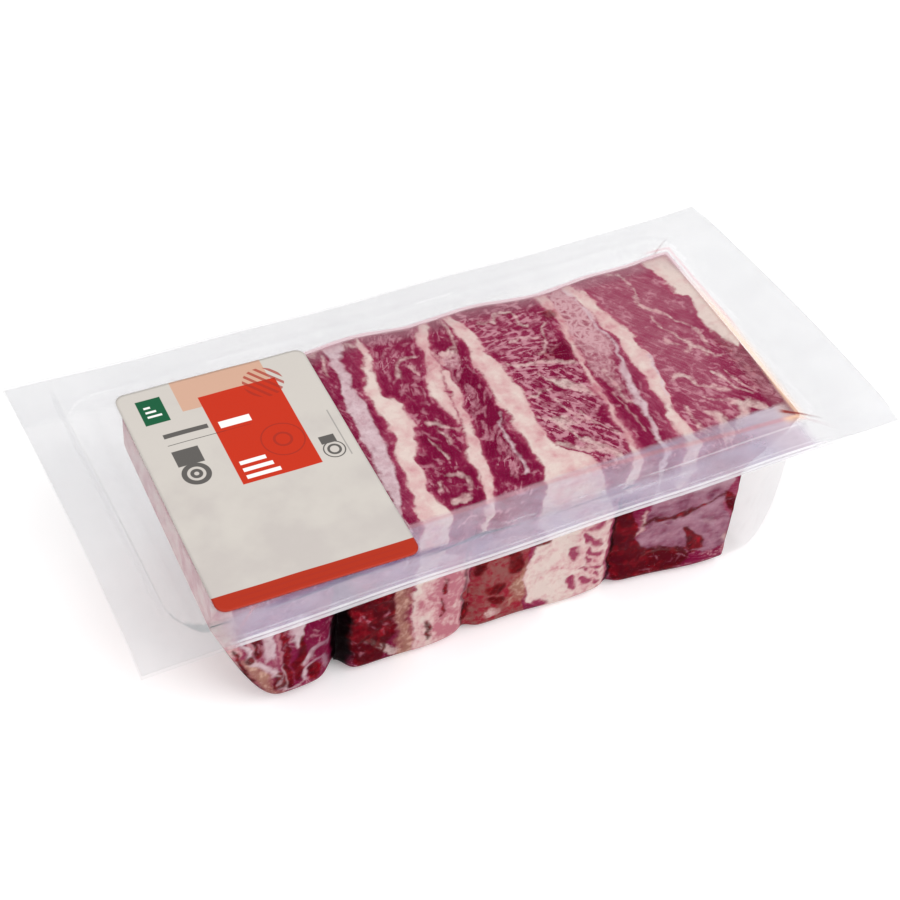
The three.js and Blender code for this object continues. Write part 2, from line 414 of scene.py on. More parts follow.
# What the cut meat shows, drawn on a chart that is the top face unrolled over the front and back
# edges. A band is a list of (y, left, right), and a streak a list of (x, y, width)
topBands = {
    "skin": [
        [(49, -34, -27), (38, -35.5, -31), (31, -36, -32), (23, -38.6, -33.2), (2, -40.4, -33.6),
         (-12, -41.8, -35.7), (-27, -44, -38.6), (-34, -44.6, -41), (-43, -45.6, -44.6)],
        [(45, 67.5, 68.5), (38, 69.5, 70.5), (22, 71, 72), (5, 71, 72), (-5, 67.3, 68.9), (-12, 65.3, 67.3),
         (-23, 64.2, 66.2), (-37, 61.4, 63.4), (-51, 59.3, 61.5)],
    ],
    "fat": [
        [(60, -124, -112), (0, -124, -110), (-40, -124, -109), (-60, -124, -111), (-100, -124, -116)],
        [(43, -21.6, -19.6), (38, -22.5, -20), (31, -25, -22.5), (23, -27.9, -23.6), (16, -30, -25),
         (9, -30, -19), (5.6, -28.6, -20.4), (-5, -29.6, -21.8), (-12, -33.2, -23.6), (-19, -34.6, -27.1),
         (-27, -35.4, -27.9), (-34, -36.1, -31), (-46, -39, -28), (-82, -40.5, -28.5), (-124, -40, -31)],
        [(49, 5.7, 9), (38, 0.7, 5.7), (31, 0.4, 3.2), (23, -2.5, 2.1), (16, -5.7, 1.4), (9, -7.3, -1.8),
         (2, -7.1, -2.5), (-5, -5.4, -3.6), (-9, -4.5, -4.5)],
        [(18, 1.8, 3.6), (9, -0.7, 4.3), (2, -1.8, 2.1), (-12, -3.9, -1.4), (-19, -7.1, -3.2),
         (-27, -9.3, -3.9), (-34, -9.3, -5), (-46, -12.5, -10), (-80, -14, -12)],
        [(49, 14.2, 18.4), (38, 16.4, 21.8), (31, 17.7, 23.6), (23, 16.8, 22.5), (9, 15.4, 25),
         (2, 14.3, 25.7), (-12, 13.9, 24), (-27, 13.6, 22.1), (-34, 14.3, 24.3), (-41, 15.4, 32.9),
         (-47, 10, 33), (-82, 10, 44), (-124, 18, 42)],
        [(48, 52, 57.7), (38, 56.3, 59.9), (31, 57.4, 60.6), (23, 56.6, 59.1), (9, 54.5, 57),
         (-5, 52.4, 54.5), (-12, 51.3, 53.4), (-41, 50.2, 52), (-48, 47.5, 51)],
        [(46, 67.2, 71), (38, 69.9, 74.5), (31, 71.6, 76.3), (16, 73.8, 78.8), (9, 74.9, 80.9),
         (-5, 73.8, 80.2), (-19, 72.4, 79.1), (-27, 72.7, 76.3), (-31, 71.8, 73.8), (-37, 70.6, 74.1),
         (-52, 68.6, 75.2), (-82, 67, 72)],
        [(52, 106, 124), (41, 107, 124), (34, 110.2, 124), (27, 110.5, 124), (23, 109.5, 124),
         (20, 114.5, 124), (16, 114.5, 124), (9, 112, 124), (2, 112, 124), (-5, 113, 123), (-9, 114.5, 121),
         (-13, 116.5, 117)],
    ],
}
topStreaks = {
    "skin": [
        [(11.8, -10, 0.7), (9.3, -19, 1), (8.6, -32, 1), (6.4, -41, 0.8)],
        [(80, -3, 1), (79.4, -14, 1.4), (76, -25, 1)],
    ],
    "streak": [
        [(-29, 46, 1.2), (-26, 45.5, 1.6), (-22.5, 44.5, 1.8), (-20.5, 42, 1.8)],
        [(-42, 46, 2), (-36, 46.6, 1.4), (-31, 46, 1.4)],
        [(-40, 34, 1), (-38, 40, 1.6), (-37, 44, 1)],
        [(-15, 22, 1.2), (-12.5, 27, 1.7), (-10, 30, 1.8), (-5, 31, 1.3)],
        [(-8.5, 21, 0.8), (-7.5, 24.5, 1.2)],
        [(-15.3, -4, 1.6), (-12, -5.5, 2.2), (-9, -9, 1.5), (-4, -12, 1)],
        [(-13, -8, 0.7), (-12, -13, 1.4), (-12.4, -17, 0.8)],
        [(-18.5, -12, 0.7), (-17.2, -18, 1), (-16.6, -22.5, 2)],
        [(-21, -30, 1), (-17, -31, 1.4), (-14.6, -35, 1), (-17, -39, 0.7)],
        [(-26, -36, 0.9), (-24.5, -33, 1.4)],
        [(-22.5, -43, 5), (-20.5, -43, 5)],
        [(-9, -33, 1), (-10.5, -37, 1.8)],
        [(13.4, 46, 1), (14.6, 38, 1), (13.5, 32, 1.2), (10, 28, 1.6), (6, 26, 2)],
        [(3, 31, 1.2), (4, 27, 1.6), (4, 22, 1.6)],
        [(8, 24, 1), (11, 27, 1)],
        [(27, 36, 0.9), (32, 37, 1.2), (36, 39, 1.6), (41, 39, 1.3), (43, 36, 1), (42.5, 31, 1.4),
         (45, 29, 1)],
        [(34, 24, 0.9), (38, 23.6, 1), (43, 22, 0.8), (46, 20, 0.8), (44, 14, 1.5), (41, 13, 0.8)],
        [(46, 19, 0.8), (49, 25, 1), (53, 28.5, 1)],
        [(26, 13, 1), (30, 10, 1.4), (36, 10, 1.6), (42, 8.6, 2), (47, 6, 2), (52, 4, 1.4)],
        [(36, 3, 1.2), (39, -2, 2.2), (43, -5, 5), (46, -9, 4), (50.5, -14, 2)],
        [(26, -6, 1.6), (31, -6, 1), (36, -5, 1)],
        [(25, -17, 1.6), (30, -20, 2), (33, -23, 2.6), (37, -25, 1)],
        [(30, -22, 2), (33, -30, 1.6), (37, -37, 2.2), (41, -43, 3.6), (42.5, -46, 3.6)],
        [(25, -33, 3), (30, -35, 2.4), (36, -40, 3), (40, -43, 3)],
        [(40, -21, 1), (45, -30, 0.9), (49, -37, 0.7)],
        [(35.5, -12, 1), (36, -18, 1.2), (40, -26, 0.9)],
        [(94, 43, 0.8), (94.5, 33, 0.9), (93.6, 25, 1), (93, 21.5, 1.8), (96, 18, 1.4), (102, 10, 1.1),
         (105, 4, 1), (106.5, -10, 0.9)],
        [(93, 14, 0.6), (95, 8, 0.9), (98, 0, 1), (100, -5, 2)],
        [(84, -18.5, 2.4), (87.5, -19.5, 2.2), (90, -24, 1.1), (97, -30.5, 1.1), (100, -33, 0.8)],
        [(89, 44, 1.4), (94, 41.5, 1.2), (98.5, 39, 0.8)],
        [(96, -8, 0.8), (99, -6, 2.4), (102, -8, 2.2), (104.5, -13, 1.2), (107.5, -14, 1)],
        [(92, 1, 1.1), (95.5, -3, 0.8)],
        [(100, -22, 1.4), (103, -31, 1), (107, -37, 0.7)],
        [(104, -22, 1.2), (107, -30, 0.9), (110, -36, 0.7)],
        [(89, -33, 0.8), (94, -35.5, 1), (99, -37, 0.7)],
        [(86, -39, 1.4), (88, -44, 4.5), (87, -54, 5)],
        [(98, -39, 3), (101, -42, 5), (97, -47, 4), (93, -52, 3)],
        [(103, -41, 4), (108, -46, 3)],
        [(79.6, -34, 1.4), (78.4, -42, 0.8), (80, -50, 1)],
        [(57, -16, 0.8), (58, -26, 0.8), (58.5, -38, 0.9)],
        [(61, -3, 0.9), (60, -12, 1.1), (60.5, -15, 1.6), (60, -24, 0.9)],
        [(59, -22, 0.7), (63, -24, 1)],
    ],
}

# The front faces: a band is a list of (depth under the film, left, right), a streak of (x, depth, width)
frontBands = {
    "fat": [
        [(14, -124, -112), (36, -124, -109.5), (50, -124, -108)],
        [(14, -39, -27), (33, -40.5, -15), (48, -40, -16), (60, -39, -17), (76, -38, -19)],
        [(14, 10, 44), (32, 16, 44), (36, 11, 44), (45, 9, 43.5), (55, 8, 43.5), (66, 10.5, 44.5),
         (76, 19, 46)],
    ],
    "cream": [
        [(32, -47, -42), (40, -48.5, -41), (50, -47.5, -41), (58, -44.5, -40), (66, -45, -39),
         (76, -46, -38)],
        [(46, 6, 8), (56, 3, 8.5), (66, 4, 10)],
        [(44, -108, -104.5), (56, -105, -98), (64, -101, -95.5), (71, -97, -92)],
    ],
    "skin": [
        [(14, 58, 106), (27, 60, 97), (33, 58.5, 93), (42, 58.5, 93), (50, 57.5, 97), (57, 58, 97),
         (61, 72, 96), (66, 88, 98)],
        # These two bands on the first rib's face are painted highlights of the film's folds
        [(30, -99, -95), (40, -100, -95), (50, -98, -95.6)],
        [(30, -89, -82), (40, -88.5, -84), (48, -87, -85.4)],
    ],
    "blood": [
        [(14, -66, -46), (33, -66.5, -48), (50, -66.5, -48), (58, -66, -46), (66, -64, -50), (72, -60, -52)],
        [(14, 47, 57), (32, 46.5, 52), (44, 46, 56), (50, 46, 57), (58, 46, 62), (61, 47, 78), (66, 47, 82),
         (74, 50, 76)],
        [(50, 77.6, 79.6), (55, 78, 82.5), (60, 79.5, 86), (64, 81.5, 87), (66, 83, 84.5)],
    ],
    "lace": [
        [(14, -13, 8), (33, -12, 8), (45, -15, 8), (58, -16.5, 7), (76, -18, 10)],
    ],
}
frontStreaks = {
    "streak": [
        # This first streak is a painted glint on the last rib's silver skin
        [(88, 47, 2), (86, 48.4, 3.4), (89, 49.4, 3)],
        [(61, 43, 0.8), (66, 44, 1.2), (70, 46, 1)],
        [(60, 61, 0.8), (66, 60.4, 1.6), (74, 61.6, 2), (80, 64.4, 1)],
        [(70, 41.6, 0.8), (76, 43.4, 1.6), (80, 40.6, 1), (84, 44, 0.8)],
        [(96, 58, 2.4), (97.6, 64, 3.6), (99, 68, 3)],
        [(-22, 39, 2.6), (-21, 43, 4), (-24, 47, 4), (-26, 48, 2)],
        [(-58, 58, 1), (-54, 62, 3.4), (-50, 66, 4.4), (-46, 70, 3)],
        [(-8, 67, 2.6), (-5, 67.4, 3), (-3, 68, 2.2)],
        [(57, 33, 1.4), (57.8, 41, 1.8), (56, 48, 1.2)],
        # These two streaks on the first rib's face are painted highlights of the film's folds
        [(-106.5, 28, 2.6), (-104.5, 36, 2.6), (-103, 42, 2)],
        [(-93.3, 28, 1), (-93, 45, 1.2), (-92, 56, 0.8)],
    ],
    "skin": [
        # All these strokes on the first rib's face are painted highlights of the film's folds
        [(-109, 32, 1.6), (-106, 40, 2.4), (-103.5, 47, 2.6), (-98, 54, 2.2), (-94, 60, 1.6), (-92, 68, 1.4)],
        [(-84, 58, 1.6), (-81, 54, 2.4), (-77, 51.5, 2.4), (-73, 53, 2.2), (-70, 50, 1.6)],
        [(-84, 66, 1.4), (-82.5, 61, 1.6), (-78, 58.4, 1.4), (-75, 60, 2), (-73, 66, 2.4)],
        [(-91, 55, 1), (-91.3, 63, 1.2), (-91, 69, 1.6), (-88, 70.5, 1.6), (-85, 68, 1.4)],
    ],
    "blood": [
        [(-102, 33, 3), (-102, 41, 3), (-100.5, 45, 1.6)],
        [(-91, 35, 1.6), (-90.5, 48, 2.2), (-89.5, 60, 2.8), (-89.5, 68, 2.6)],
        [(-84.5, 42, 1), (-84, 48, 3.2), (-85.5, 56, 3.2), (-86, 64, 2.2)],
        [(-79.5, 63, 5.5), (-79, 65, 5.5)],
        [(-93.3, 61, 2.4), (-93, 66, 3.4)],
        [(-112, 36, 1.2), (-109, 44, 1.2), (-106, 54, 1.4), (-104, 59, 1.4)],
        [(-104.8, 44, 2.6), (-104.3, 46, 2.6)],
        [(-26.5, 38, 0.8), (-26.2, 42, 1.6), (-27, 46, 0.8)],
        [(-27.5, 50, 0.6), (-26.6, 54, 1.4), (-27.4, 58, 0.8)],
        [(-33, 58, 0.8), (-32.4, 63, 1.6), (-32.6, 68, 0.8)],
        [(-11, 38, 3.6), (-11, 42, 3)],
        [(2, 34, 4), (3, 40, 5), (4, 45, 4)],
        [(-7, 53, 2.4), (-4, 54.5, 4), (-1, 53.5, 2.4)],
        [(-5, 60, 3), (-2, 62, 5), (0, 62, 2.4)],
        [(-16, 60, 3), (-15.6, 66, 3)],
        [(11, 33.5, 2.6), (16, 34, 2.6)],
        [(58, 41, 1.2), (62, 40.4, 2), (68, 40.6, 2), (77, 41, 1.6), (84, 38.6, 1), (94, 33.4, 0.8)],
        [(56, 57, 1), (64, 57.6, 1.4), (74, 59.6, 1.2), (80, 62, 0.8)],
        [(93, 33, 1), (94.6, 37, 3), (97, 43, 3.4), (98.6, 47, 1)],
        [(101.5, 30, 2.6), (100.4, 40, 2.8), (99.6, 50, 2)],
    ],
    "island": [
        [(28.6, 44, 2.6), (29, 47, 4), (30, 51, 3)],
        [(34, 35.6, 2), (37, 35.4, 3.4), (39, 33.6, 2.6)],
        [(32, 38, 2), (34, 41, 4), (36, 42.6, 2.4)],
        [(37, 43, 2), (39, 45, 3)],
        [(35.4, 46.4, 1.6), (36, 49, 3.4), (37, 50, 2)],
        [(38, 50, 2.4), (40, 52, 3)],
        [(35, 52, 1.6), (36.4, 54.4, 3)],
        [(37, 58, 1.6), (39, 58.8, 2.4), (42, 59.6, 1.6)],
        [(32.6, 57, 1), (35, 58.4, 1.6)],
        [(28.4, 61, 2.4), (29, 64, 4), (30.6, 67, 3)],
        [(34, 64, 2.6), (37, 66, 3.4)],
        [(39.6, 62.4, 2.4), (41, 64, 2)],
        [(40, 67, 2), (42, 68, 2.4)],
        [(15, 69, 3), (17, 71, 4), (19, 72, 2)],
    ],
}

# Soft patches as (x, y, half width, half depth, value). The rest has the first value
frontPatches = {
    "tone": [0.4, (-96, 40, 6, 14, 0.8), (-79, 42, 8, 12, 0.22), (-56, 50, 12, 30, 0.1),
             (-22, 52, 10, 30, 0.8), (-4, 52, 12, 26, 0.5), (36, 52, 10, 26, 0.8), (80, 66, 24, 6, 0.3),
             (80, 46, 22, 12, 0.8)],
    "marbling": [0.1, (-57, 50, 10, 20, 0.2), (-4, 52, 12, 26, 0.3), (80, 66, 24, 6, 0.3)],
    "pink": [0.3, (-23, 52, 7, 30, 1.1), (36, 52, 9, 26, 0.5), (20, 52, 8, 30, 0.14), (-34, 56, 4, 20, 0.6),
             (-104, 40, 12, 20, 0.8)],
}
topPatches = {
    "tone": [0.45, (-26, 34, 6, 13, 0.42), (-32, 5, 4, 12, 0.4), (-36, -32, 5, 12, 0.55),
             (-10, 36, 13, 16, 0.44), (-12, 0, 12, 20, 0.3), (-16, -30, 13, 18, 0.2), (7, 37, 6, 9, 0.3),
             (10, 5, 7, 16, 0.12), (8, -25, 7, 24, 0.2), (36, 34, 16, 16, 0.5), (49, 11, 7, 6, 0.02),
             (38, -15, 14, 26, 0.36), (57, -26, 4, 16, 0.36), (63, -10, 5, 20, 0.46), (69, -20, 4, 30, 0.6),
             (93, 25, 18, 26, 0.92), (95, -12, 16, 20, 0.86), (86, -38, 12, 14, 0.66),
             (110, -20, 6, 22, 0.4)],
    "marbling": [0.4, (-26, 32, 5, 16, 0.02), (-30, 3, 3, 14, 0.05), (-10, 36, 12, 14, 0.34),
                 (-10, 10, 9, 14, 0.2), (-14, -25, 12, 20, 0.18), (8, 38, 5, 8, 0.3), (8, 22, 6, 5, 0.8),
                 (12, 0, 4, 30, 0.1), (4, -10, 4, 34, 0.6), (14, -30, 3, 16, 0.1), (38, 36, 15, 14, 0.85),
                 (36, 8, 14, 18, 0.95), (49, 11, 6, 5, 0.1), (38, -25, 13, 22, 0.95), (57, -26, 3, 14, 0.15),
                 (69, -20, 3, 32, 0.05), (93, 20, 14, 30, 0.22), (90, -30, 12, 20, 0.5),
                 (110, -22, 5, 16, 0.5)],
    "pink": [0.35, (-116, 0, 8, 80, 0.6), (22, -10, 5, 40, 0.42), (19, 20, 3, 30, 0.42), (76, 10, 3, 40, 0.4),
             (-25, 0, 4, 30, 0.2), (1, 10, 3, 30, 0.6), (-5, -24, 3, 16, 0.5), (57, 20, 3, 40, 0.7),
             (52, -26, 2, 20, 0.8), (116, 20, 8, 30, 0.05)],
    "lace": [0, (65, 24, 5.5, 18, 1), (61, -2, 3.6, 16, 0.6), (7, 23, 4, 4, 0.7)],
    "blood": [0, (49, 11, 6, 5, 0.5), (113, -20, 3, 18, 0.5), (108, -52, 8, 4, 0.5), (56, 32, 2.4, 2.4, 0.8)],
}

# Painted shade in the gaps between the ribs' faces: (x, half width, softness, darkness)
seamGapShades = [(-67.4, 4.6, 2.6, 1), (-17, 1.6, 1.6, 0.6), (46.9, 1.3, 0.9, 0.85)]

# How each muscle's bundles lie: (x, y, half width, half depth, degrees, length, width)
topGrain = [
    (-42, 0, 7, 80, 100, 7, 3), (-24, 20, 4, 50, 96, 6, 2.4), (-12, 38, 11, 14, 58, 4.6, 1.5),
    (-15, -14, 10, 40, 76, 8, 3.4), (8, 36, 7, 12, 70, 5, 2.2), (6, -10, 8, 60, 62, 6.5, 2.3),
    (38, 36, 14, 14, 4, 8.5, 3), (38, 12, 14, 12, -8, 9, 3), (39, -20, 15, 30, -52, 9.5, 3.1),
    (58, -25, 5, 50, -78, 7, 2.4), (66, 0, 5, 70, -80, 7, 2.4), (95, 0, 22, 90, -54, 11, 2.8),
]
frontGrain = [
    (-95, 50, 26, 40, 70, 5, 2), (-56, 50, 12, 40, 95, 5, 3), (-25, 50, 14, 40, 80, 5, 2),
    (0, 50, 16, 40, 90, 3, 2.4), (35, 50, 14, 40, 80, 4, 2), (80, 50, 30, 40, 8, 8, 2),
]

chart = {
    "reach": 6.0,            # how far outside a band or a streak its distance is told
    "frontEdge": -40,        # a band that goes past these runs on over the edge
    "backEdge": 42,
    "runOn": 30,
    "broadWave": 0.9,        # how far the waves move what is painted, and their sizes
    "broadSize": 12,
    "smallWave": 0.5,
    "smallSize": 4.5,
    "restWeight": 0.12,      # of a patch list's first value
    "washFrom": -1.6,        # the distance at which blood and bone begin, and over how far they grow
    "washOver": 2.4,
    "noIsland": 3,           # on the top, where no islands are cut out of the fat
    "faceFrom": 20,          # the faces' own chart takes over below this depth
    "faceOver": 10,
    "topWaves": 31,          # seeds
    "faceWaves": 41,
    "topFlecks": 11,
    "faceFlecks": 12,
}


def grainPlace(x, y, rows):      # each point's place along and across the bundles that it lies in
    best = np.full(len(x), np.inf)
    along, cross = np.zeros(len(x)), np.zeros(len(x))
    for atX, atY, halfWidth, halfDepth, degrees, length, width in rows:
        reach = ((x - atX) / halfWidth) ** 2 + ((y - atY) / halfDepth) ** 2
        angle = math.radians(degrees)
        nearer = reach < best
        best = np.where(nearer, reach, best)
        along = np.where(nearer, (x * math.cos(angle) + y * math.sin(angle)) / length, along)
        cross = np.where(nearer, (y * math.cos(angle) - x * math.sin(angle)) / width, cross)
    return along, cross


def ripples(x, y, size, seed):      # smooth waves in many directions, about -1 to 1
    draw = np.random.default_rng(seed)
    waves = 7
    total = 0 * x
    for wave in range(waves):
        angle, phase = draw.uniform(0, 2 * math.pi, 2)
        pace = 2 * math.pi / (size * draw.uniform(0.7, 1.5))
        total = total + np.sin((x * math.cos(angle) + y * math.sin(angle)) * pace + phase)
    return total / (waves / 2)


def wavy(x, y, seed):      # moves places about, so that what is painted gets natural edges
    def move(first):
        broad = chart["broadWave"] * ripples(x, y, chart["broadSize"], first)
        return broad + chart["smallWave"] * ripples(x, y, chart["smallSize"], first + 1)

    return x + move(seed), y + move(seed + 2)


def bandDistance(x, y, band, runOn):      # how far inside a band each point is
    places, left, right = np.array(sorted(band)).T
    low = places[0] - (runOn if places[0] < chart["frontEdge"] else 0)
    high = places[-1] + (runOn if places[-1] > chart["backEdge"] else 0)
    sideward = np.minimum(x - np.interp(y, places, left), np.interp(y, places, right) - x)
    return np.minimum(sideward, np.minimum(y - low, high - y))


def rounded(points, steps=4):      # a curve through a streak's points
    knots = np.array([points[0], *points, points[-1]], dtype=float)
    curve = []
    for number in range(len(knots) - 3):
        before, start, end, after = knots[number:number + 4]
        for step in range(steps):
            t = step / steps
            bend = 2 * start + (end - before) * t + (2 * before - 5 * start + 4 * end - after) * t * t
            curve.append(0.5 * (bend + (3 * start - before - 3 * end + after) * t ** 3))
    return curve + [knots[-1]]


def drawStreak(x, y, distance, streak):      # raises the distances near a streak
    curve = rounded(streak)
    for start, end in zip(curve, curve[1:]):
        low = np.minimum(start, end) - chart["reach"]
        high = np.maximum(start, end) + chart["reach"]
        near = (x > low[0]) & (x < high[0]) & (y > low[1]) & (y < high[1])
        if not near.any():
            continue
        run = end[:2] - start[:2]
        length = max(float(run @ run), 1e-6)
        share = clamp01(((x[near] - start[0]) * run[0] + (y[near] - start[1]) * run[1]) / length)
        width = start[2] + (end[2] - start[2]) * share
        away = np.hypot(x[near] - start[0] - share * run[0], y[near] - start[1] - share * run[1])
        distance[near] = np.maximum(distance[near], width / 2 - away)


def patchValue(x, y, patches):
    total = np.full(len(x), chart["restWeight"] * patches[0])
    weight = np.full(len(x), chart["restWeight"])
    for atX, atY, halfWidth, halfDepth, value in patches[1:]:
        reach = ((x - atX) / halfWidth) ** 2 + ((y - atY) / halfDepth) ** 2
        pull = np.exp(-reach ** 1.5)
        total += pull * value
        weight += pull
    return total / weight


# Small flecks of fat, seeded: (x, y, half width, half depth, count, degrees, length, width)
topFlecks = [
    (-10, 37, 12, 10, 70, 55, 2.6, 0.9), (-15, 14, 7, 11, 14, 80, 7, 0.7), (-15, -20, 9, 20, 26, 100, 5, 0.8),
    (3.6, -14, 3, 31, 60, 60, 5, 0.9), (11, 0, 2.6, 20, 8, 76, 6, 0.5), (37, 36, 13, 10, 12, 8, 7, 0.9),
    (38, 18, 13, 9, 10, -6, 8, 1), (36, 0, 12, 9, 10, -30, 8, 1.1), (40, -24, 10, 20, 22, -55, 9, 1),
    (66, -26, 3, 18, 12, 95, 6, 0.6), (90, 18, 16, 26, 26, -48, 5, 0.6), (92, -30, 13, 14, 22, -58, 6, 0.7),
    (112, -22, 3.5, 14, 22, -62, 8, 0.8),
]
frontFlecks = [
    (-57, 50, 8, 16, 22, 60, 3, 0.8), (-23, 52, 5, 20, 30, 75, 5, 0.9), (80, 67, 20, 4, 16, 10, 6, 0.7),
    (78, 46, 18, 12, 12, 20, 6, 0.6), (-96, 52, 8, 18, 14, 70, 5, 0.7), (-77, 40, 5, 6, 8, 60, 3, 0.7),
]
fleck = {
    "turn": 14,              # how far flecks turn from their muscle's direction, in degrees
    "curl": 0.17,
    "shape": (0.1, 0.7, 1, 0.75, 0.1),      # the width along a fleck
}


def fleckStreaks(rows, seed):
    draw = np.random.default_rng(seed)
    streaks = []
    for atX, atY, halfWidth, halfDepth, count, degrees, length, width in rows:
        for number in range(count):
            x = atX + halfWidth * draw.uniform(-1, 1)
            y = atY + halfDepth * draw.uniform(-1, 1)
            angle = math.radians(degrees + draw.normal(0, fleck["turn"]))
            pace = length * draw.uniform(0.4, 1.2) / 4
            thick = width * draw.uniform(0.6, 1.3)
            streak = []
            for share in fleck["shape"]:
                streak.append((x, y, thick * share))
                angle += draw.normal(0, fleck["curl"])
                x += math.cos(angle) * pace
                y += math.sin(angle) * pace
            streaks.append(streak)
    return streaks


def chartDistance(x, y, bands, streaks, runOn=0):
    distance = np.full(len(x), -chart["reach"])
    for band in bands:
        distance = np.maximum(distance, bandDistance(x, y, band, runOn))
    for streak in streaks:
        drawStreak(x, y, distance, streak)
    return distance


# x and y are places on the chart. Down the faces, faceX and under are the place on the front's own
# chart, which the back repeats mirrored
def paintCut(piece, x, y, faceX, under):
    faceness = rise(under, chart["faceFrom"], chart["faceOver"])
    grains = zip(("along", "cross"), grainPlace(x, y, topGrain), grainPlace(faceX, under, frontGrain))
    for name, top, face in grains:
        paint(piece, name, np.where(faceness > 0.5, face, top))
    x, y = wavy(x, y, chart["topWaves"])
    faceX, under = wavy(faceX, under, chart["faceWaves"])

    def both(top, face):
        return top + (face - top) * faceness

    def drawn(name):
        top = chartDistance(x, y, topBands.get(name, []), topStreaks.get(name, []), chart["runOn"])
        face = chartDistance(faceX, under, frontBands.get(name, []), frontStreaks.get(name, []))
        return both(top, face)

    fat = np.minimum(drawn("fat"), -drawn("island") * faceness + chart["noIsland"] * (1 - faceness))
    paint(piece, "fat", fat)
    for name in ("skin", "cream", "streak"):
        paint(piece, name, drawn(name))
    for name in ("blood", "lace"):
        patch = patchValue(x, y, topPatches[name]) * (1 - faceness)
        paint(piece, name, np.maximum(rise(drawn(name), chart["washFrom"], chart["washOver"]), patch))
    # painted shade down the gaps between the ribs
    gap = 0 * faceX
    for at, halfWidth, soft, darkness in seamGapShades:
        gap = np.maximum(gap, darkness * smooth((halfWidth - np.abs(faceX - at)) / soft))
    paint(piece, "gap", gap * faceness)
    top = chartDistance(x, y, [], fleckStreaks(topFlecks, chart["topFlecks"]))
    face = chartDistance(faceX, under, [], fleckStreaks(frontFlecks, chart["faceFlecks"]))
    paint(piece, "fleck", both(top, face))
    for name in ("tone", "marbling", "pink"):
        values = both(patchValue(x, y, topPatches[name]), patchValue(faceX, under, frontPatches[name]))
        paint(piece, name, values)
    return fat


cutColours = tints({
    "dark": (100, 0, 42), "mid": (118, 16, 56), "rose": (138, 56, 82), "pale": (152, 88, 104),
    "edge": (156, 66, 92), "vein": (192, 138, 150),
    "blood": (70, 0, 3), "crimson": (114, 0, 14), "bright": (168, 8, 28), "gap": (8, 0, 1),
    "fat": (210, 191, 184), "pinkFat": (200, 160, 160), "redFat": (176, 108, 120),
    "skin": (204, 182, 187), "silverDark": (96, 36, 60), "faceSkin": (134, 90, 108),
    "silverSheen": (172, 140, 154), "cream": (154, 108, 94), "creamLight": (190, 150, 134),
    "boneDark": (140, 24, 44), "boneLight": (136, 80, 77), "laceDark": (132, 44, 70),
    "laceLight": (192, 150, 156),
})
meatLook = {
    "coarse": 0.14,          # the scales of the three noises, in waves per millimetre
    "middle": 0.45,
    "fine": 1.5,
    "veins": 0.5,            # how strongly they show, and what marbling adds
    "marbledVeins": 0.32,
    "strands": 0.6,
    "flecks": 0.55,
    "roughness": 0.42,
    "faceCoat": 0.035,       # the wet shine of the faces
    "coatRoughness": 0.12,
    "relief": 0.4,
    "reliefHeight": 1.2,
}


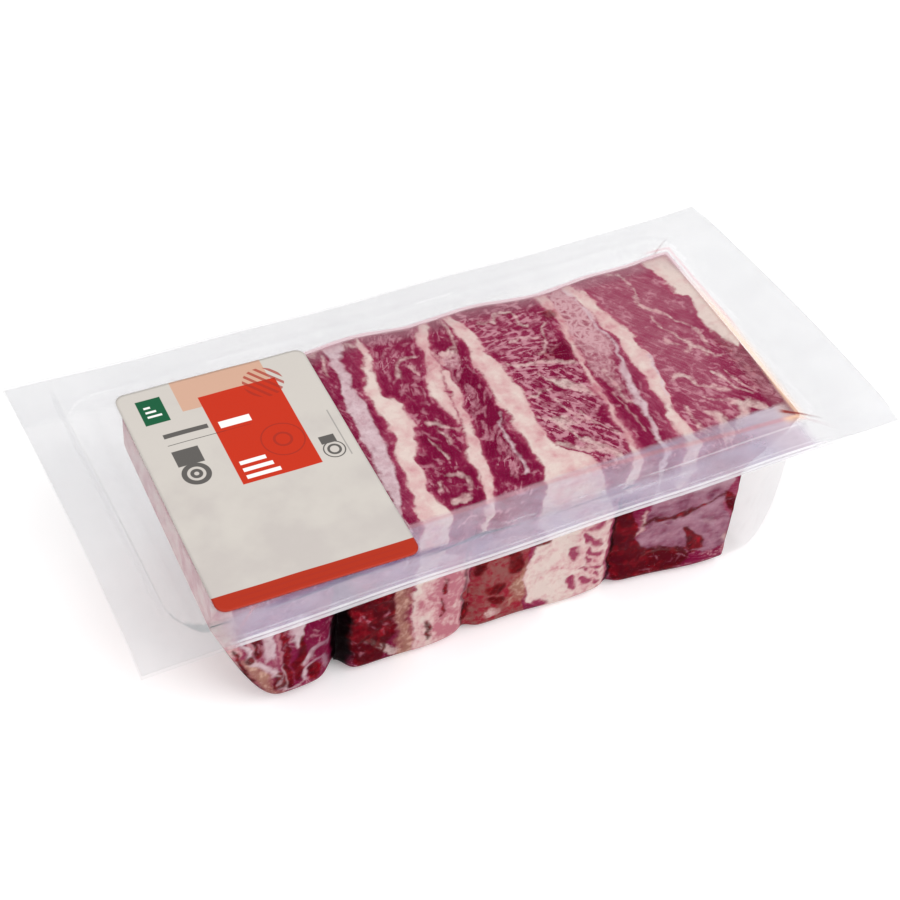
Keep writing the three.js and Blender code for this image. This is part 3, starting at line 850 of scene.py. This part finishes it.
def makeMeatMaterial():
    sheet = Sheet("meat")
    place = sheet.position()
    places = sheet.parts(place)
    x, z = places[0], places[2]
    faceness = sheet.step(z, 56, 44)      # rises down the side faces
    coarse = sheet.noise(place, meatLook["coarse"])
    middle = sheet.noise(place, meatLook["middle"], 3)
    fine = sheet.noise(place, meatLook["fine"], 3, 0.6)

    def lay(base, name, share):      # one of the cut's colours laid over others
        return sheet.blend(base, cutColours[name], share)

    def shaded(value, *stops):      # the cut's colours along a value
        return sheet.ramp(value, [(at, cutColours[name]) for at, name in stops])

    # Muscle lies in long bundles with fat between them, and thin strands run with the grain
    marbling = sheet.painted("marbling")
    flat = sheet.combined(sheet.painted("along"), sheet.painted("cross"), 0)
    grain = sheet.swayed(flat, 0.7, 1.2)
    fibres = sheet.noise(sheet.scaled(grain, (0.8, 2.6, 1)), 1.3, 3, 0.6)
    reach = marbling * 0.12 + middle * 1.3 + 0.11      # the veins swell to blots and thin out again
    between = sheet.cellEdges(grain, 1, "2D") + fibres * 0.3
    veins = 1 - sheet.step(between, reach * 0.3 - 0.04, reach)
    veins = veins * sheet.step(coarse * 1.9 + middle * 0.6 + marbling * 0.5, 0.1, 0.5)
    strands = sheet.step(fibres + middle * 0.4, 0.05, 0.3) * marbling

    # Fat feathers into the muscle at its edges
    feather = sheet.noise(sheet.scaled(place, (0.5, 1.1, 0.5)), 0.9)
    wobble = coarse * 2.2 + middle * 1.9 + fine * 1.1
    fatEdge = sheet.painted("fat") + wobble + feather * 0.9
    fat = sheet.step(fatEdge, -0.9, 0.8)
    skin = sheet.step(sheet.painted("skin") + wobble * 0.7, -0.9, 0.9)
    streak = sheet.step(sheet.painted("streak") + wobble * 0.7 + fibres * 1.4, -0.8, 0.9)
    flecks = sheet.step(sheet.painted("fleck") + middle * 0.9 + fine * 0.8, -0.7, 0.6)

    tone = sheet.painted("tone") + coarse * 0.6 + middle * 0.3 + fibres * 0.7 + fine * 0.2
    muscle = shaded(tone, (0, "dark"), (0.34, "mid"), (0.66, "rose"), (1, "pale"))
    muscle = lay(muscle, "edge", sheet.step(fatEdge, -2.6, -0.2) * 0.6)
    veined = veins * (marbling * meatLook["marbledVeins"] + meatLook["veins"])
    flecked = flecks * (middle + meatLook["flecks"])
    muscle = lay(muscle, "vein", veined | strands * meatLook["strands"] | flecked)

    # Spongy bone, a pale mesh with dark holes on the cut and blotches on the faces
    pores = sheet.cellEdges(sheet.swayed(place, 0.25, 4), 0.3)
    holes = sheet.step(pores + middle * 0.3 + fine * 0.25, 0.02, 0.34)
    laced = lay(cutColours["laceLight"], "laceDark", holes * (coarse * 1.6 + fine * 0.7 + 0.62))
    blotches = sheet.step(coarse + middle * 1.4 + fine * 0.5, -0.3, 0.35)
    spongy = sheet.blend(laced, lay(cutColours["boneDark"], "boneLight", blotches), faceness)
    muscle = sheet.blend(muscle, spongy, sheet.step(sheet.painted("lace") + middle * 0.8, 0.2, 0.8))
    creamy = sheet.step(sheet.painted("cream") + wobble * 1.3, -2, 2.2)
    creamColour = lay(cutColours["cream"], "creamLight", sheet.step(feather + middle, -0.1, 0.3))
    muscle = sheet.blend(muscle, creamColour, creamy * (coarse + 0.8))

    pink = sheet.painted("pink") + coarse * 1.5 + middle * (faceness + 0.6) + fine * 0.25
    fatColour = shaded(pink, (0.1, "fat"), (0.6, "pinkFat"), (1, "redFat"))
    colour = sheet.blend(muscle, fatColour, fat | streak * (middle * 1.7 + 0.62))

    # White skin between the muscles, and silver skin on the last rib's face. The same colour also paints
    # highlights of the film's folds on the first rib's face
    # The silver skin's lighter streaks are partly its own tone, partly a painted sheen
    streaksAndSheen = sheet.noise(sheet.scaled(place, (0.3, 0.7, 0.6)), 0.5, 3) * 0.8 + coarse + 0.5
    silver = shaded(streaksAndSheen, (0.2, "silverDark"), (0.46, "faceSkin"), (0.86, "silverSheen"))
    skinAndSheenColour = sheet.blend(cutColours["skin"], silver, faceness * sheet.step(x, -84, -76))
    skinAndSheenColour = lay(skinAndSheenColour, "rose", sheet.step(coarse + middle + fine * 0.4, 0.02, 0.4) * 0.4)
    colour = sheet.blend(colour, skinAndSheenColour, skin * (middle + 0.8))
    bloodColour = shaded(coarse + middle + 0.5, (0.42, "blood"), (0.7, "crimson"), (1, "bright"))
    blood = sheet.step(sheet.painted("blood") + wobble * 0.25, 0.15, 1.05)
    colour = sheet.blend(colour, bloodColour, blood * (0.95 - flecks * 0.6))
    # the painted shade in the gaps between the ribs
    colour = lay(colour, "gap", sheet.painted("gap"))
    return sheet.surface({
        "Base Color": colour,
        "Roughness": fat * 0.06 + meatLook["roughness"],
        "Specular IOR Level": 0.01,
        "Coat Weight": faceness * meatLook["faceCoat"],
        "Coat Roughness": meatLook["coatRoughness"],
        "Normal": sheet.bump(middle + fine * 0.4, meatLook["relief"], meatLook["reliefHeight"] * mm),
    })


rib = {
    "across": (10, 9),       # two rounds of cuts along each axis
    "deep": (15, 9),
    "down": (8, 9),
    "boxDepth": 96,
    "boxHeight": 77,
    "topRadius": 2,
    "sideRadius": 0.02,
    "footRadius": 6,
    "footSideRadius": 1.2,
    "footPart": 0.6,         # the part of the height over which the edges grow rounder
    "clearance": 0.45,       # to the pocket film
    "underLid": 0.05,
    "cornerShare": 0.5,      # how much of the mouth's round corners the meat follows
    "starts": [-120, -70.99, -17.49, 46.51],
    "ends": [-71.01, -17.51, 46.49, 118.3],
    "frontRound": 21,        # how far the last rib's end stands back below the cut, at the front
    "backRound": 7,
    "roundDepth": 26,
    "turnStart": 7,
    "turnWidth": 38,
    "backSway": 3,
    "backSwayLength": 11,
    "fatStands": 0.22,       # fat stands a little proud of the muscle
    "fatSlope": 0.8,
    "lumpDepth": 1.1,
    "lumpSizes": (10, 5),
    "lumpsGrow": (0, 24),    # depths at which the lumps start and end, each with its width
    "lumpsFade": (60, 10),
    "lumpSeed": 51,
}


def roundEdges(points, high, radius, axes):      # rounds a box's edges between two of its axes
    pair = points[:, axes]
    inner = np.clip(pair, radius, high[axes] - radius)
    away = pair - inner
    reach = np.max(np.abs(away), axis=1, keepdims=True)
    length = np.maximum(np.linalg.norm(away, axis=1, keepdims=True), 1e-6)
    points[:, axes] = inner + away * reach / length


def makeRib(number, material):
    start, end = rib["starts"][number], rib["ends"][number]
    depth, height = rib["boxDepth"], rib["boxHeight"]
    high = np.array([end - start, depth, height])
    deselect()
    bpy.ops.mesh.primitive_cube_add(size=1, location=(0, 0, 0))
    bpy.context.object.dimensions = high * mm
    piece = startPiece("rib" + str(number + 1))
    for axis, cuts in enumerate((rib["across"], rib["deep"], rib["down"])):
        splitAlong(piece, axis, cuts)
    flat = readPoints(piece) + high / 2

    # From a plain box to a rounded one
    footness = 1 - smooth(flat[:, 2:3] / (rib["footPart"] * height))
    box = flat.copy()
    roundEdges(box, high, rib["topRadius"] + (rib["footRadius"] - rib["topRadius"]) * footness, [1, 2])
    roundEdges(box, high, rib["sideRadius"] + rib["footSideRadius"] * footness, [0, 2])

    # From the box into the pocket
    x = start + box[:, 0]
    down = 1 - box[:, 2] / height
    if number == len(ribNodes) - 1:      # below the cut, the last rib's end stands back, most at the front
        towardsBack = rise(box[:, 1], rib["turnStart"], rib["turnWidth"])
        stand = rib["frontRound"] + (rib["backRound"] - rib["frontRound"]) * towardsBack
        x = x - stand * smooth(down * height / rib["roundDepth"]) * box[:, 0] / (end - start)
    under = down * (fullDepth(x) - rib["clearance"])
    filled = seamInset(x) * (1 - smooth(under / pack["bridgeDepth"]))      # grooves that the meat fills
    corner = cornerInset(x) * rib["cornerShare"] * smooth(under / pack["slackDepth"])
    inset = corner + rib["clearance"] - filled
    front = tightFace(x, under, -1) + inset
    back = tightFace(x, under, 1) - inset
    y = front + (back - front) * box[:, 1] / depth
    z = pack["top"] - rib["underLid"] - under
    worldX = leaned(x, y)

    # The chart: the top face, unrolled over the edges, and both ends of it under the foot
    hair = 1e-3
    onTop = flat[:, 2] > height - hair
    onFront = flat[:, 1] < hair
    onBack = flat[:, 1] > depth - hair
    chartY = np.where(onFront, meatFace(x, -1) - under, np.where(onBack, meatFace(x, 1) + under, y))
    mirrored = start + end - x + rib["backSway"] * np.sin(under / rib["backSwayLength"])
    fat = paintCut(piece, worldX, chartY, np.where(onBack, mirrored, worldX), np.where(onTop, 0, under))

    sunk = rib["fatStands"] * (1 - smooth(fat / rib["fatSlope"] + 0.5))
    broad, small = [ripples(worldX, under, size, rib["lumpSeed"] + extra)
                    for extra, size in enumerate(rib["lumpSizes"])]
    lumps = clamp01(0.5 + 0.35 * broad + 0.15 * small)
    shown = rise(under, *rib["lumpsGrow"]) * (1 - rise(under, *rib["lumpsFade"]))
    sunk = sunk + rib["lumpDepth"] * lumps * shown
    y = y + sunk * np.where(onBack, -1, np.where(onFront, 1, 0))
    z = z - np.where(onTop, sunk, 0)
    writePoints(piece, np.column_stack([worldX, y, z]))
    keepCrisp(50)
    finishPiece(piece, material, [ribNodes[number]])


# Clear films
film = {
    "grid": (204, 96),
    "pocketCuts": ((12, 14), (6, 8), (5, 8)),
    "lidThickness": 0.3,
    "rimThickness": 0.25,
    "pocketThickness": 0.2,
    "rimGap": 0.15,          # between the lid and the rim under it
    "rimOverlap": 1.5,       # how far the rim reaches over the mouth
    "rimGrowth": (1.002, 1.004),       # the rim is a little wider than the lid
    "backRightInset": 4.5,
    "backBow": -4.4,
    "leftBow": 1.2,
    "rightBow": 1.1,
    "backDroop": 2.6,        # how far the back right corner hangs
    "backDroopY": (50, 24),            # where each droop starts, and over how far it grows
    "backDroopX": (20, 110),
    "sideDroopX": (122, 34),
    "sideDroopY": (-20, 90),
    "frontDroop": 0.8,
    "frontDroopY": (58, 16),
    "frontDroopX": (90, 60),
    "rimDroop": 1.3,         # the lower film's edge shows under the lid's
    "rimDroopY": (58, 14),
    "waveHeight": 0.35,
    "waveY": (48, 16),
    "meatLeft": -112,        # where the meat under the lid ends
    "meatRight": 118,
    "frontCorner": 2.2,      # how far the meat's right end draws back towards the front
    "frontCornerY": (10, 45),
    "backTurn": 2.8,         # how far the meat's round back edge starts before its face
    "fade": 3.5,             # over which the films' milkiness changes at the mouth
    "singleMilk": 0.8,       # what the lid alone is milkier than where the rim lies under it
    "slackEnd": 112,         # past this the pocket film is slack all the way down
}


def lidOutline(across, deep):      # across and deep run from -1 to 1 over the sheet
    halfLength, halfDepth = lidHigh.x / mm, -lidLow.y / mm
    along, share = (across + 1) / 2, (deep + 1) / 2
    bow = 4 * share * (1 - share)
    left = film["leftBow"] * bow - halfLength
    right = halfLength - film["backRightInset"] * share + film["rightBow"] * bow
    back = halfDepth + film["backBow"] * 4 * along * (1 - along) * (0.75 + 0.5 * along)
    return left + (right - left) * along, (back + halfDepth) * share - halfDepth


def lidDroop(x, y):      # outside the pocket the sheet hangs a little
    backward = rise(y, *film["backDroopY"]) * rise(x, *film["backDroopX"])
    sideward = rise(x, *film["sideDroopX"]) * rise(y, *film["sideDroopY"])
    frontward = rise(-y, *film["frontDroopY"]) * rise(abs(x), *film["frontDroopX"])
    waves = film["waveHeight"] * np.sin(x / 13 + y / 21) * rise(abs(y), *film["waveY"])
    return film["backDroop"] * np.maximum(backward, sideward) + film["frontDroop"] * frontward + waves


def overMeat(x, y):      # how far inside the meat's visible outline a point of the lid is
    ownX = x - slantAt(x) * backShare(y)
    inFront = y - meatFace(ownX, -1)
    behind = meatFace(ownX, 1) + relief(ownX, 0) - film["backTurn"] - y
    rightEnd = film["meatRight"] - x - film["frontCorner"] * rise(-y, *film["frontCornerY"])
    return np.minimum(np.minimum(inFront, behind), np.minimum(x - film["meatLeft"], rightEnd))


def insideMouth(x, y):      # how far inside the mouth's outline, which has round corners
    radius = pack["mouthCorner"]

    def beyond(value, low, high):
        return abs(value - (low + high) / 2) - (high - low) / 2 + radius

    beyondX = beyond(x, pack["left"], pack["right"])
    beyondY = beyond(y, pack["mouthFront"], pack["mouthBack"])
    outside = np.hypot(np.maximum(beyondX, 0), np.maximum(beyondY, 0))
    return radius - outside - np.minimum(np.maximum(beyondX, beyondY), 0)


def makeLid(material):
    piece = startSheet("lidFilm", *film["grid"])
    grid = readPoints(piece)
    x, y = lidOutline(grid[:, 0], grid[:, 1])
    z = pack["lidTop"] - film["lidThickness"] - lidDroop(x, y)
    writePoints(piece, np.column_stack([x, y, z]))
    paint(piece, "overMeat", overMeat(x, y))
    single = rise(insideMouth(x, y), -2.5, film["fade"])      # where the rim doesn't lie under it
    paint(piece, "milk", 1 + film["singleMilk"] * single)
    thicken(piece, film["lidThickness"], 1)
    finishPiece(piece, material, ["lid_film"])


def makeRim(material):
    piece = startSheet("rimFilm", *film["grid"])
    grid = readPoints(piece)
    inside = insideMouth(*lidOutline(grid[:, 0], grid[:, 1]))
    deleteSome(piece, "VERT", inside > film["rimOverlap"])
    grid = readPoints(piece)
    x, y = lidOutline(*(grid[:, :2] * film["rimGrowth"]).T)
    droop = lidDroop(x, y) + film["rimDroop"] * rise(abs(y), *film["rimDroopY"])
    z = pack["lidTop"] - film["lidThickness"] - film["rimGap"] - droop
    writePoints(piece, np.column_stack([x, y, z]))
    paint(piece, "overMeat", overMeat(x, y))
    paint(piece, "milk", smooth((1 - insideMouth(x, y)) / film["fade"]))
    thicken(piece, film["rimThickness"], -1)
    finishPiece(piece, material, ["lid_film"])


def makePocket(material):
    deselect()
    bpy.ops.mesh.primitive_cube_add(size=2 * mm, location=(0, 0, 0))
    piece = startPiece("pocketFilm")
    deleteSome(piece, "FACE", [face.normal.z > 0.5 for face in piece.data.polygons])
    for axis, cuts in enumerate(film["pocketCuts"]):
        splitAlong(piece, axis, cuts)
    box = readPoints(piece)
    along, across, down = (box[:, 0] + 1) / 2, (box[:, 1] + 1) / 2, (1 - box[:, 2]) / 2

    # More of the columns stand on the two slopes, and most of the rows on the walls
    leftPart, rightPart, wallPart = 0.2, 0.14, 0.84
    middle = (along - leftPart) / (1 - leftPart - rightPart)
    slopeEnd = pack["left"] + pack["leftSlope"]
    slopeStart = pack["right"] - pack["rightSlope"]
    onLeft = pack["left"] + pack["leftSlope"] * along / leftPart
    onRight = pack["right"] - pack["rightSlope"] * (np.maximum(1 - along, 0) / rightPart) ** 2
    between = slopeEnd + (slopeStart - slopeEnd) * middle
    x = np.where(along < leftPart, onLeft, np.where(along > 1 - rightPart, onRight, between))

    # Each section's floor and walls meet in a round corner
    deep = fullDepth(x)
    radius = np.minimum(pack["bottomRadius"], 0.45 * deep)
    wallEnd = deep - radius
    turn = clamp01((down - wallPart) / (1 - wallPart)) * math.pi / 2
    wallDepth = wallEnd * np.minimum(down / wallPart, 1)
    under = wallDepth + radius * np.sin(turn)
    turned = radius * (1 - np.cos(turn))
    levelFront = wallY(x, wallDepth, -1) + turned
    levelBack = wallY(x, wallDepth, 1) - turned
    footFront = wallY(x, wallEnd, -1) + radius
    footBack = wallY(x, wallEnd, 1) - radius
    onFloor = box[:, 2] < -1 + 1e-4
    front, back = np.where(onFloor, footFront, levelFront), np.where(onFloor, footBack, levelBack)
    y = front + (back - front) * across
    writePoints(piece, np.column_stack([leaned(x, y), y, pack["top"] - under]))
    slack = 1 - smooth(under / pack["slackDepth"]) * smooth((film["slackEnd"] - x) / 6)
    paint(piece, "slack", slack * rise(under, 0.5, 7))
    thicken(piece, film["pocketThickness"], -1)
    finishPiece(piece, material, [*ribNodes, "pocket_end"])


filmLook = {
    "clear": 0.003,          # opacity of each surface where the lid lies on meat
    "pocketClear": 0.001,
    "slack": 0.045,          # where the pocket film hangs free
    "slackFolds": 0.08,
    "flange": 0.14,
    "front": 0.25,           # before the meat
    "leftEnd": 0.34,         # over the meat's left end
    # the haze is a painted sheen
    "haze": 0.14,            # at the meat's back edge
    "roughness": 0.25,
    "pocketRoughness": 0.2,
}
filmColours = tints({
    "white": (196, 196, 200), "line": (240, 238, 242), "lilac": (192, 186, 208), "rosy": (222, 206, 214),
    "creaseShade": (128, 110, 150), "blush": (214, 168, 178), "peach": (250, 214, 184), "tip": (150, 50, 44),
})


def makeLidMaterial():
    sheet = Sheet("lid_film")
    place = sheet.position()
    x, y = sheet.parts(place)[:2]
    over = sheet.painted("overMeat")
    wave = sheet.noise(place, 0.05)
    mottle = sheet.noise(sheet.scaled(place, (0.5, 1, 1)), 0.2)
    grit = sheet.noise(sheet.scaled(place, (0.3, 1, 1)), 0.5, 3)

    def line(at, half, soft, low, high):      # a line along the front, from low to high in x
        ends = sheet.step(x, low, low + 10) * sheet.step(x, high, high - 10)
        return sheet.near(y - at - wave * 1.2, half, half + soft) * ends

    def tip(startX, startY, endX, endY, half):      # a fold that runs out to a point
        run = math.hypot(endX - startX, endY - startY)
        sine, cosine = (endY - startY) / run, (endX - startX) / run
        along = ((x - startX) * cosine + (y - startY) * sine) * (1 / run)
        aside = abs((y - startY) * cosine - (x - startX) * sine + wave * 1.5)
        inside = (1 - along) * half - aside
        return sheet.step(inside, -0.3, 0.5) * sheet.step(along, -0.1, 0.15)

    # The pale strip before the meat, with its seal, creases and bright edge. Its lilac veil is partly the
    # film's milkiness and partly a painted reflection, the white lines along the seal are the seal with a
    # painted highlight, the edge lines are a painted highlight and the dark crease is painted shade
    onMeat = sheet.step(over, -1.2, 0.4)
    # the strip's lilac veil is partly the film's milkiness, partly a painted reflection
    front = sheet.step(y + grit * 2, -46.2, -49) * sheet.step(x, -124, -112) * sheet.step(x, 119, 110)
    rightFront = front * sheet.step(x + wave * 10, 82, 108)
    sealAndHighlight = line(-60, 0.1, 0.6, -45, 66) * sheet.step(grit, -0.06, 0.12) * 0.4
    sealAndHighlight = sealAndHighlight | line(-59.6, 0.1, 0.6, 40, 118) * 0.5 | line(-64, 0.1, 1, 20, 70) * 0.3
    # painted shade along a crease of the film
    creaseShade = line(-60.6, 0.6, 1.2, -108, -30) * (grit + 0.7)
    # painted highlight lines along the front edge
    edges = sheet.step(y, -70.4, -70.8) | sheet.near(y + 69.1, 0.1, 0.5) * 0.4
    bright = sealAndHighlight | edges * sheet.step(abs(x), 124, 116)

    # What follows the meat's outline, and the folds at the pocket's corners
    glow = sheet.step(over, -5, -0.6) * (1 - onMeat * 0.7) * sheet.step(x, 108, 113) * sheet.step(y, 36, 0)
    # painted highlight along the lid's bend over the meat's edge, strongest at the back
    brimHighlight = sheet.near(over + 0.7 + wave * 1.4, 0.3, 1.7)
    backBrimHighlight = brimHighlight * sheet.step(y, 30, 40)
    # painted sheen that veils the meat near its back edge
    haze = sheet.step(over, 8, -1) * sheet.step(y, 30, 42) * onMeat
    capLine = sheet.near(over + 3.4 + wave * 2, 0.2, 1) * sheet.step(x, 108, 114) * sheet.step(y, -12, 4)
    tips = tip(111, -50.5, 124, -59.4, 1.1) | tip(113, 46.5, 125, 54, 0.7) * 0.4
    folds = tip(-109, -48, -125, -60, 0.8) | tip(-103, -55, -121, -70, 0.7) | tip(112, -53, 128, -66, 0.8)
    leftSeal = sheet.near(x + 137.5 + wave * 2, 0.4, 1.6) * sheet.step(abs(y - 7), 60, 50)
    leftEnd = sheet.step(x + wave * 8, -100, -114) * sheet.step(over, -1.2, 3)

    colour = sheet.layered(filmColours["white"], filmColours, [
        ("lilac", front),
        ("rosy", rightFront * 0.7 | leftEnd | front * (wave + 0.3)),
        ("blush", brimHighlight * 0.8 | haze | capLine | folds * 0.7),
        ("creaseShade", creaseShade),
        ("line", bright),
        ("peach", glow),
        ("tip", tips),
    ])
    milk = sheet.painted("milk")
    shaded = sheet.step(x, -112, -134) * sheet.step(y, 30, -25)
    lit = wave * 0.3 + (sheet.step(x, 112, 134) | sheet.step(y, 46, 52)) * 0.2 - shaded * 0.45 + 1
    alpha = (1 - onMeat) * (1 - front) * lit * milk * filmLook["flange"] + filmLook["clear"]
    pale = mottle * 0.32 + grit * 0.1 + rightFront * 0.3 + filmLook["front"]
    alpha = alpha + front * pale * (milk & 1)
    strengths = [(bright, 0.2), (creaseShade, 0.1), (tips, 0.3), (capLine, 0.06), (folds, 0.1), (leftSeal, 0.04),
                 (glow, 0.12), (brimHighlight, 0.05), (backBrimHighlight, 0.22), (haze, filmLook["haze"]),
                 (leftEnd, filmLook["leftEnd"])]
    for mark, strength in strengths:
        alpha = alpha + mark * strength
    return sheet.surface({
        "Base Color": colour,
        "Roughness": filmLook["roughness"],
        "Alpha": alpha,
        "Specular IOR Level": 0.5,
    })


def makePocketMaterial():
    sheet = Sheet("pocket_film")
    fold = sheet.noise(sheet.scaled(sheet.position(), (1, 1, 0.15)), 0.4, 3)
    milky = abs(fold) * filmLook["slackFolds"] + filmLook["slack"]
    return sheet.surface({
        "Base Color": filmColours["white"],
        "Roughness": filmLook["pocketRoughness"],
        "Alpha": sheet.painted("slack") * milky + filmLook["pocketClear"],
    })


# The label, with a generic print: fields of colour, bars, rings and dots
labelLow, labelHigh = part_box("label")
label = {
    "width": 75,
    "length": 110,
    "corner": 4,
    "turn": -1.6,
    "centre": ((labelLow + labelHigh) / 2) / mm,
    "thickness": 0.2,
    "grid": (60, 88),
    "soft": 0.12,            # half the width of the print's edges
    "buckle": 0.1,
}
labelColours = tints({
    "paper": (196, 190, 183), "shaded": (187, 180, 175), "peach": (200, 160, 138), "orange": (188, 44, 16),
    "band": (166, 42, 18), "green": (14, 86, 54), "ink": (40, 38, 38), "grey": (120, 118, 116),
    "darkRed": (160, 40, 24), "plain": (240, 238, 234),
})


def makeLabelMaterial():
    sheet = Sheet("label")
    place = sheet.position()
    local = sheet.vectors("SUBTRACT", place, tuple(label["centre"]))
    u, v = sheet.parts(sheet.turned(local, -label["turn"]))[:2]

    def field(left, right, low, high):
        inside = (u - left) & (right - u) & (v - low) & (high - v)
        return sheet.step(inside, -label["soft"], label["soft"])

    def awayFrom(atU, atV):
        return sheet.sum("SQRT", (u - atU) * (u - atU) + (v - atV) * (v - atV))

    def ring(atU, atV, radius, half):
        return sheet.step(half - abs(awayFrom(atU, atV) - radius), -label["soft"], label["soft"])

    def bars(left, right, low, count, pitch, height):      # each a little shorter than the one below
        marks = field(left, right, low, low + height)
        for number in range(1, count):
            start = low + number * pitch
            marks = marks | field(left, right - number * 1.5, start, start + height)
        return marks

    cloud = sheet.noise(place, 0.06, 3)
    hatch = sheet.step(sheet.sum("SINE", (u * 0.8 + v * 0.6) * 2.2), 0, 0.3)
    dark = field(-27, -5, 24.2, 24.5) | field(-27, -10, 28, 30.2) | field(-27, -17, 13, 21)
    dark = dark | field(25, 31, 5, 9) | ring(-22, 8, 4.4, 1) | ring(-22, 8, 1.6, 0.7)
    dark = dark | ring(28.5, 1.5, 4, 0.25) | ring(28.5, 1.5, 2.2, 0.5)
    colour = sheet.layered(labelColours["paper"], labelColours, [
        ("shaded", sheet.step(cloud - v * 0.004, -0.1, 0.3)),
        ("peach", field(-16, 20, 39, 58)),
        ("orange", field(-8.5, 22, -3, 44)),
        ("darkRed", sheet.step(8 - awayFrom(17, 43), 0, 0.3) * hatch * 0.8),
        ("green", field(-31, -21.5, 36.5, 49.5)),
        ("plain", bars(-29, -23.5, 40, 3, 2.4, 1)),
        ("ink", dark * 0.85),
        ("plain", field(-6, 6, 26, 29.4) | bars(-6, 7, -1, 3, 3.6, 1.8)),
        ("darkRed", (field(-8, 5, 24.2, 24.5) | ring(13, 13, 8, 0.28) | ring(13, 13, 3.2, 0.5)) * 0.9),
        ("grey", field(33.3, 33.8, -3, 21) * 0.6),
        ("band", field(-40, 40, -58, -47.8)),
        ("darkRed", (field(-32, 33, -50.6, -50) | field(-28, 31, -53, -52.4)) * 0.7),
    ])
    bump = sheet.bump(cloud + sheet.noise(place, 0.5) * 0.1, 0.25, 1 * mm)
    return sheet.surface({"Base Color": colour, "Roughness": 0.4, "Specular IOR Level": 0.2, "Normal": bump})


def makeLabel(material):
    piece = startSheet("labelSheet", *label["grid"])
    half = np.array([label["width"] / 2, label["length"] / 2])
    flat = (readPoints(piece)[:, :2] + 1) * half
    roundEdges(flat, 2 * half, label["corner"], [0, 1])
    u, v = (flat - half).T
    turn = math.radians(label["turn"])
    centre = label["centre"]
    x = centre.x + u * math.cos(turn) - v * math.sin(turn)
    y = centre.y + u * math.sin(turn) + v * math.cos(turn)
    z = centre.z - 0.05 + label["buckle"] * np.sin(u / 5 + v / 13) * np.sin(v / 9 - u / 17)
    writePoints(piece, np.column_stack([x, y, z]))
    thicken(piece, label["thickness"], 1)
    finishPiece(piece, material, ["label"])


# Studio
studio = {
    "azimuth": -31.4985,
    "elevation": 45.9795,
    "roll": 6.3201,
    "distance": 0.7012,
    "target": (-0.0145577, -0.0203185, 0.078),
    "lens": 76.67,
    "floor": tint(250, 250, 250),
    "floorShade": tint(247, 247, 247),
    "floorGlow": 0.17,       # keeps the shadows on the white floor light
    "floorDrop": 0.1,        # keeps the floor clear of the pack's foot
    "world": 0.62,
    "keyPower": 10,
    "fillPower": 6.5,
}


def makeCamera():
    azimuth, elevation = math.radians(studio["azimuth"]), math.radians(studio["elevation"])
    level = math.cos(elevation)
    right = Vector((math.cos(azimuth), math.sin(azimuth), 0))
    back = Vector((math.sin(azimuth) * level, -math.cos(azimuth) * level, math.sin(elevation)))
    up = back.cross(right)
    roll = math.radians(studio["roll"])
    turnedRight = right * math.cos(roll) + up * math.sin(roll)
    turnedUp = up * math.cos(roll) - right * math.sin(roll)
    camera = bpy.data.objects.new("camera", bpy.data.cameras.new("camera"))
    bpy.context.scene.collection.objects.link(camera)
    place = Matrix((turnedRight, turnedUp, back)).transposed().to_4x4()
    place.translation = Vector(studio["target"]) + back * studio["distance"]
    camera.matrix_world = place
    camera.data.lens = studio["lens"]
    camera.data.sensor_width = 36
    camera.data.clip_start = 0.01
    bpy.context.scene.camera = camera


def makeLight(name, place, size, power):
    light = bpy.data.lights.new(name, "AREA")
    light.shape = "SQUARE"
    light.size = size
    light.energy = power
    lamp = bpy.data.objects.new(name, light)
    bpy.context.scene.collection.objects.link(lamp)
    lamp.location = place
    aim = Vector((0, 0, 0.04)) - Vector(place)
    lamp.rotation_euler = aim.to_track_quat("-Z", "Y").to_euler()


def makeStudio():
    deselect()
    bpy.ops.mesh.primitive_plane_add(size=8, location=(0, 0, -studio["floorDrop"] * mm))
    floor = startPiece("floor")
    sheet = Sheet("floor")
    speck = sheet.step(sheet.noise(sheet.position(), 0.02), -0.3, 0.3)
    floor.data.materials.append(sheet.surface({
        "Base Color": sheet.blend(studio["floor"], studio["floorShade"], speck),
        "Roughness": 0.8,
        "Specular IOR Level": 0.1,
        "Emission Color": (1, 1, 1, 1),
        "Emission Strength": studio["floorGlow"],
    }))
    world = bpy.data.worlds.new("studio")
    world.use_nodes = True
    sky = world.node_tree.nodes["Background"]
    sky.inputs["Color"].default_value = (1, 1, 1, 1)
    sky.inputs["Strength"].default_value = studio["world"]
    bpy.context.scene.world = world
    makeLight("key", (0.45, -0.75, 1.0), 1.0, studio["keyPower"])
    makeLight("fill", (-0.6, -0.1, 1.2), 1.2, studio["fillPower"])
    bpy.context.scene.view_settings.view_transform = "Standard"


print("camera and studio")
makeCamera()
makeStudio()
print("ribs")
meatMaterial = makeMeatMaterial()
for number in range(len(ribNodes)):
    makeRib(number, meatMaterial)
print("films")
lidMaterial = makeLidMaterial()
makeLid(lidMaterial)
makeRim(lidMaterial)
makePocket(makePocketMaterial())
print("label")
makeLabel(makeLabelMaterial())
